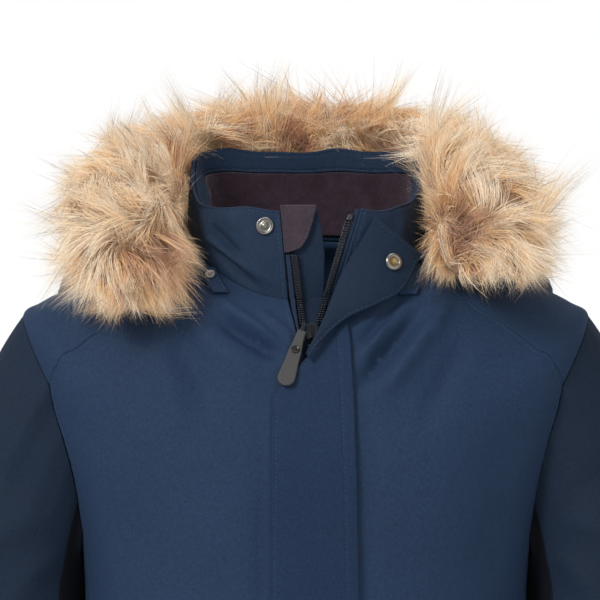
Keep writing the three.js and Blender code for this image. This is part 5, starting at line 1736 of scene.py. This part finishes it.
class SnowsuitSizes(bpy.types.PropertyGroup):
    """Sizes of what the cloth is sewn with and of its fur."""

    seam_stitch: bpy.props.FloatProperty(
        name="Topstitch from seam, mm", description="From a seam to its stitch row", default=3.0, min=1,
        max=8)
    stitch_pitch: bpy.props.FloatProperty(
        name="Stitch pitch", description="From one stitch to the next", default=0.0033, min=0.002,
        max=0.006, **LENGTH)
    hairs: bpy.props.IntProperty(
        name="Hairs", description="How many strands the fur has", default=62000, min=1000, max=90000)
    hair_length: bpy.props.FloatProperty(
        name="Hair length", description="A usual strand's length", default=0.029, min=0.01, max=0.08,
        **LENGTH)
    hair_width: bpy.props.FloatProperty(
        name="Hair width", description="A strand's width at its root", default=0.00062, min=0.0002,
        max=0.002, **LENGTH)
    hair_joints: bpy.props.IntProperty(
        name="Joints along a hair", description="Points along each side", default=5, min=3, max=10)
    fur_parts: bpy.props.IntProperty(
        name="Fur parts", description="Pieces that the strands are made in", default=4, min=1, max=12)
    seed: bpy.props.IntProperty(name="Seed", description="Which scatter of hairs", default=7)


class SnowsuitColours(bpy.types.PropertyGroup):
    """The colour of each cloth, thread, metal and rubber."""

    __annotations__ = {
        key: bpy.props.FloatVectorProperty(
            name=label, description="Colour of this part: " + label.lower(), default=colour, min=0, max=1,
            subtype="COLOR")
        for key, (label, colour, _) in FINISHES.items()
    }


class StageSizes(bpy.types.PropertyGroup):
    """The view and its light."""

    lens: bpy.props.FloatProperty(
        name="Lens, mm", description="Focal length on a 36 mm sensor", default=177.0)
    key: bpy.props.FloatProperty(
        name="Key light", description="Power of the left light", default=54.0, **POWER)
    fill: bpy.props.FloatProperty(
        name="Fill light", description="Power of the right light", default=10.0, **POWER)
    top: bpy.props.FloatProperty(
        name="Top light", description="Power of the light above", default=14.0, **POWER)
    sky: bpy.props.FloatProperty(
        name="Surroundings", description="Light from all round, under a white backdrop", default=0.40,
        min=0, max=3)


# The cloth pieces that each operator adds, by how their names start.
GROUPS = {
    "body": ("front_", "back", "side_", "shoulder_"), "sleeves": ("sleeve_",), "legs": ("leg_",),
    "collar": ("collar", "chin_guard"), "flaps": ("wind_flap", "storm_flap"), "hood": ("hood_",),
}


def add_cloth(sizes, group_name):
    for piece in cloth_tables(sizes):
        if piece[0].startswith(GROUPS[group_name]):
            build_cloth(piece)


TAB_SNAP_SHARE = 0.62


def add_snaps():
    foot, normal = front_place(-29.7, 53.6, 0.4)
    build_snap("snap_stud_metal", STUD, foot, normal, "nickel", "snap_stud")
    foot, normal = front_place(-69.5, 16, 3.9)
    small = [(radius * TAB_SNAP_SHARE, height * TAB_SNAP_SHARE) for radius, height in STUD]
    build_snap("hood_tab_snap_metal", small, foot, normal, "nickel", "hood_tab_snap")
    place = np.array(0.62), np.array(0.87)
    foot = turned_patch(*place, np.array(0.15))
    normal = unit(turned_patch(*place, np.array(1.15)) - foot)
    build_snap("snap_socket_metal", SOCKET + [(3.0, 0.6), (0, 0.6)], foot, normal, "nickel", "snap_socket")
    build_snap("snap_socket_well", SOCKET_WELL, foot, normal, "brass")


class SNOWSUIT_OT_body(bpy.types.Operator):
    """Adds the front, back, side and shoulder panels"""

    bl_idname = "snowsuit.body"
    bl_label = "Add body"

    def execute(self, context):
        add_cloth(context.scene.snowsuit, "body")
        return {"FINISHED"}


class SNOWSUIT_OT_sleeves(bpy.types.Operator):
    """Adds the sleeves' upper and under panels"""

    bl_idname = "snowsuit.sleeves"
    bl_label = "Add sleeves"

    def execute(self, context):
        add_cloth(context.scene.snowsuit, "sleeves")
        return {"FINISHED"}


class SNOWSUIT_OT_legs(bpy.types.Operator):
    """Adds the legs' front and back panels"""

    bl_idname = "snowsuit.legs"
    bl_label = "Add legs"

    def execute(self, context):
        add_cloth(context.scene.snowsuit, "legs")
        return {"FINISHED"}


class SNOWSUIT_OT_collar(bpy.types.Operator):
    """Adds the collar, its facing and lining, and the chin guard"""

    bl_idname = "snowsuit.collar"
    bl_label = "Add collar"

    def execute(self, context):
        add_cloth(context.scene.snowsuit, "collar")
        return {"FINISHED"}


class SNOWSUIT_OT_flaps(bpy.types.Operator):
    """Adds the wind flap and the storm flap with its turned-over end"""

    bl_idname = "snowsuit.flaps"
    bl_label = "Add flaps"

    def execute(self, context):
        add_cloth(context.scene.snowsuit, "flaps")
        return {"FINISHED"}


class SNOWSUIT_OT_hood(bpy.types.Operator):
    """Adds the hood's panels and the tabs that hold it"""

    bl_idname = "snowsuit.hood"
    bl_label = "Add hood"

    def execute(self, context):
        add_cloth(context.scene.snowsuit, "hood")
        return {"FINISHED"}


class SNOWSUIT_OT_zip(bpy.types.Operator):
    """Adds the zip's tapes, teeth, top stop, slider and pull tab"""

    bl_idname = "snowsuit.zip"
    bl_label = "Add zip"

    def execute(self, context):
        build_zip()
        build_top_stop()
        build_slider()
        build_pull_tab()
        return {"FINISHED"}


class SNOWSUIT_OT_snaps(bpy.types.Operator):
    """Adds the snap's two halves and the small snap of the hood's tab"""

    bl_idname = "snowsuit.snaps"
    bl_label = "Add snaps"

    def execute(self, context):
        add_snaps()
        return {"FINISHED"}


class SNOWSUIT_OT_stitches(bpy.types.Operator):
    """Adds the topstitching on the cloth made so far"""

    bl_idname = "snowsuit.stitches"
    bl_label = "Add stitches"

    def execute(self, context):
        build_stitches(context.scene.snowsuit)
        return {"FINISHED"}


class SNOWSUIT_OT_fur(bpy.types.Operator):
    """Adds the hood's fur trim"""

    bl_idname = "snowsuit.fur"
    bl_label = "Add fur"

    def execute(self, context):
        build_fur(context.scene.snowsuit)
        return {"FINISHED"}


class SNOWSUIT_OT_stage(bpy.types.Operator):
    """Adds the floor, lights and camera"""

    bl_idname = "snowsuit.stage"
    bl_label = "Add stage"

    def execute(self, context):
        build_stage(context.scene.snowsuit_stage)
        return {"FINISHED"}


OPERATORS = [
    SNOWSUIT_OT_body, SNOWSUIT_OT_sleeves, SNOWSUIT_OT_legs, SNOWSUIT_OT_collar, SNOWSUIT_OT_flaps,
    SNOWSUIT_OT_hood, SNOWSUIT_OT_zip, SNOWSUIT_OT_snaps, SNOWSUIT_OT_stitches, SNOWSUIT_OT_fur,
    SNOWSUIT_OT_stage,
]


class SNOWSUIT_PT_panel(bpy.types.Panel):
    """Sizes and buttons of the snowsuit"""

    bl_idname = "SNOWSUIT_PT_panel"
    bl_label = "Snowsuit"
    bl_space_type = "VIEW_3D"
    bl_region_type = "UI"
    bl_category = "Snowsuit"

    def draw(self, context):
        for name, kind in GROUPS_OF_SIZES.items():
            for key in kind.__annotations__:
                self.layout.prop(getattr(context.scene, name), key)
        for made in OPERATORS:
            self.layout.operator(made.bl_idname)


GROUPS_OF_SIZES = {
    "snowsuit": SnowsuitSizes, "snowsuit_colours": SnowsuitColours, "snowsuit_stage": StageSizes,
}
CLASSES = [*GROUPS_OF_SIZES.values(), *OPERATORS, SNOWSUIT_PT_panel]


def register():
    for made in CLASSES:
        bpy.utils.register_class(made)
    for name, kind in GROUPS_OF_SIZES.items():
        setattr(bpy.types.Scene, name, bpy.props.PointerProperty(type=kind))


def unregister():
    for name in GROUPS_OF_SIZES:
        delattr(bpy.types.Scene, name)
    for made in reversed(CLASSES):
        bpy.utils.unregister_class(made)


def main():
    register()
    for made in OPERATORS:
        getattr(bpy.ops.snowsuit, made.bl_idname.split(".")[1])()


if __name__ == "__main__":
    main()
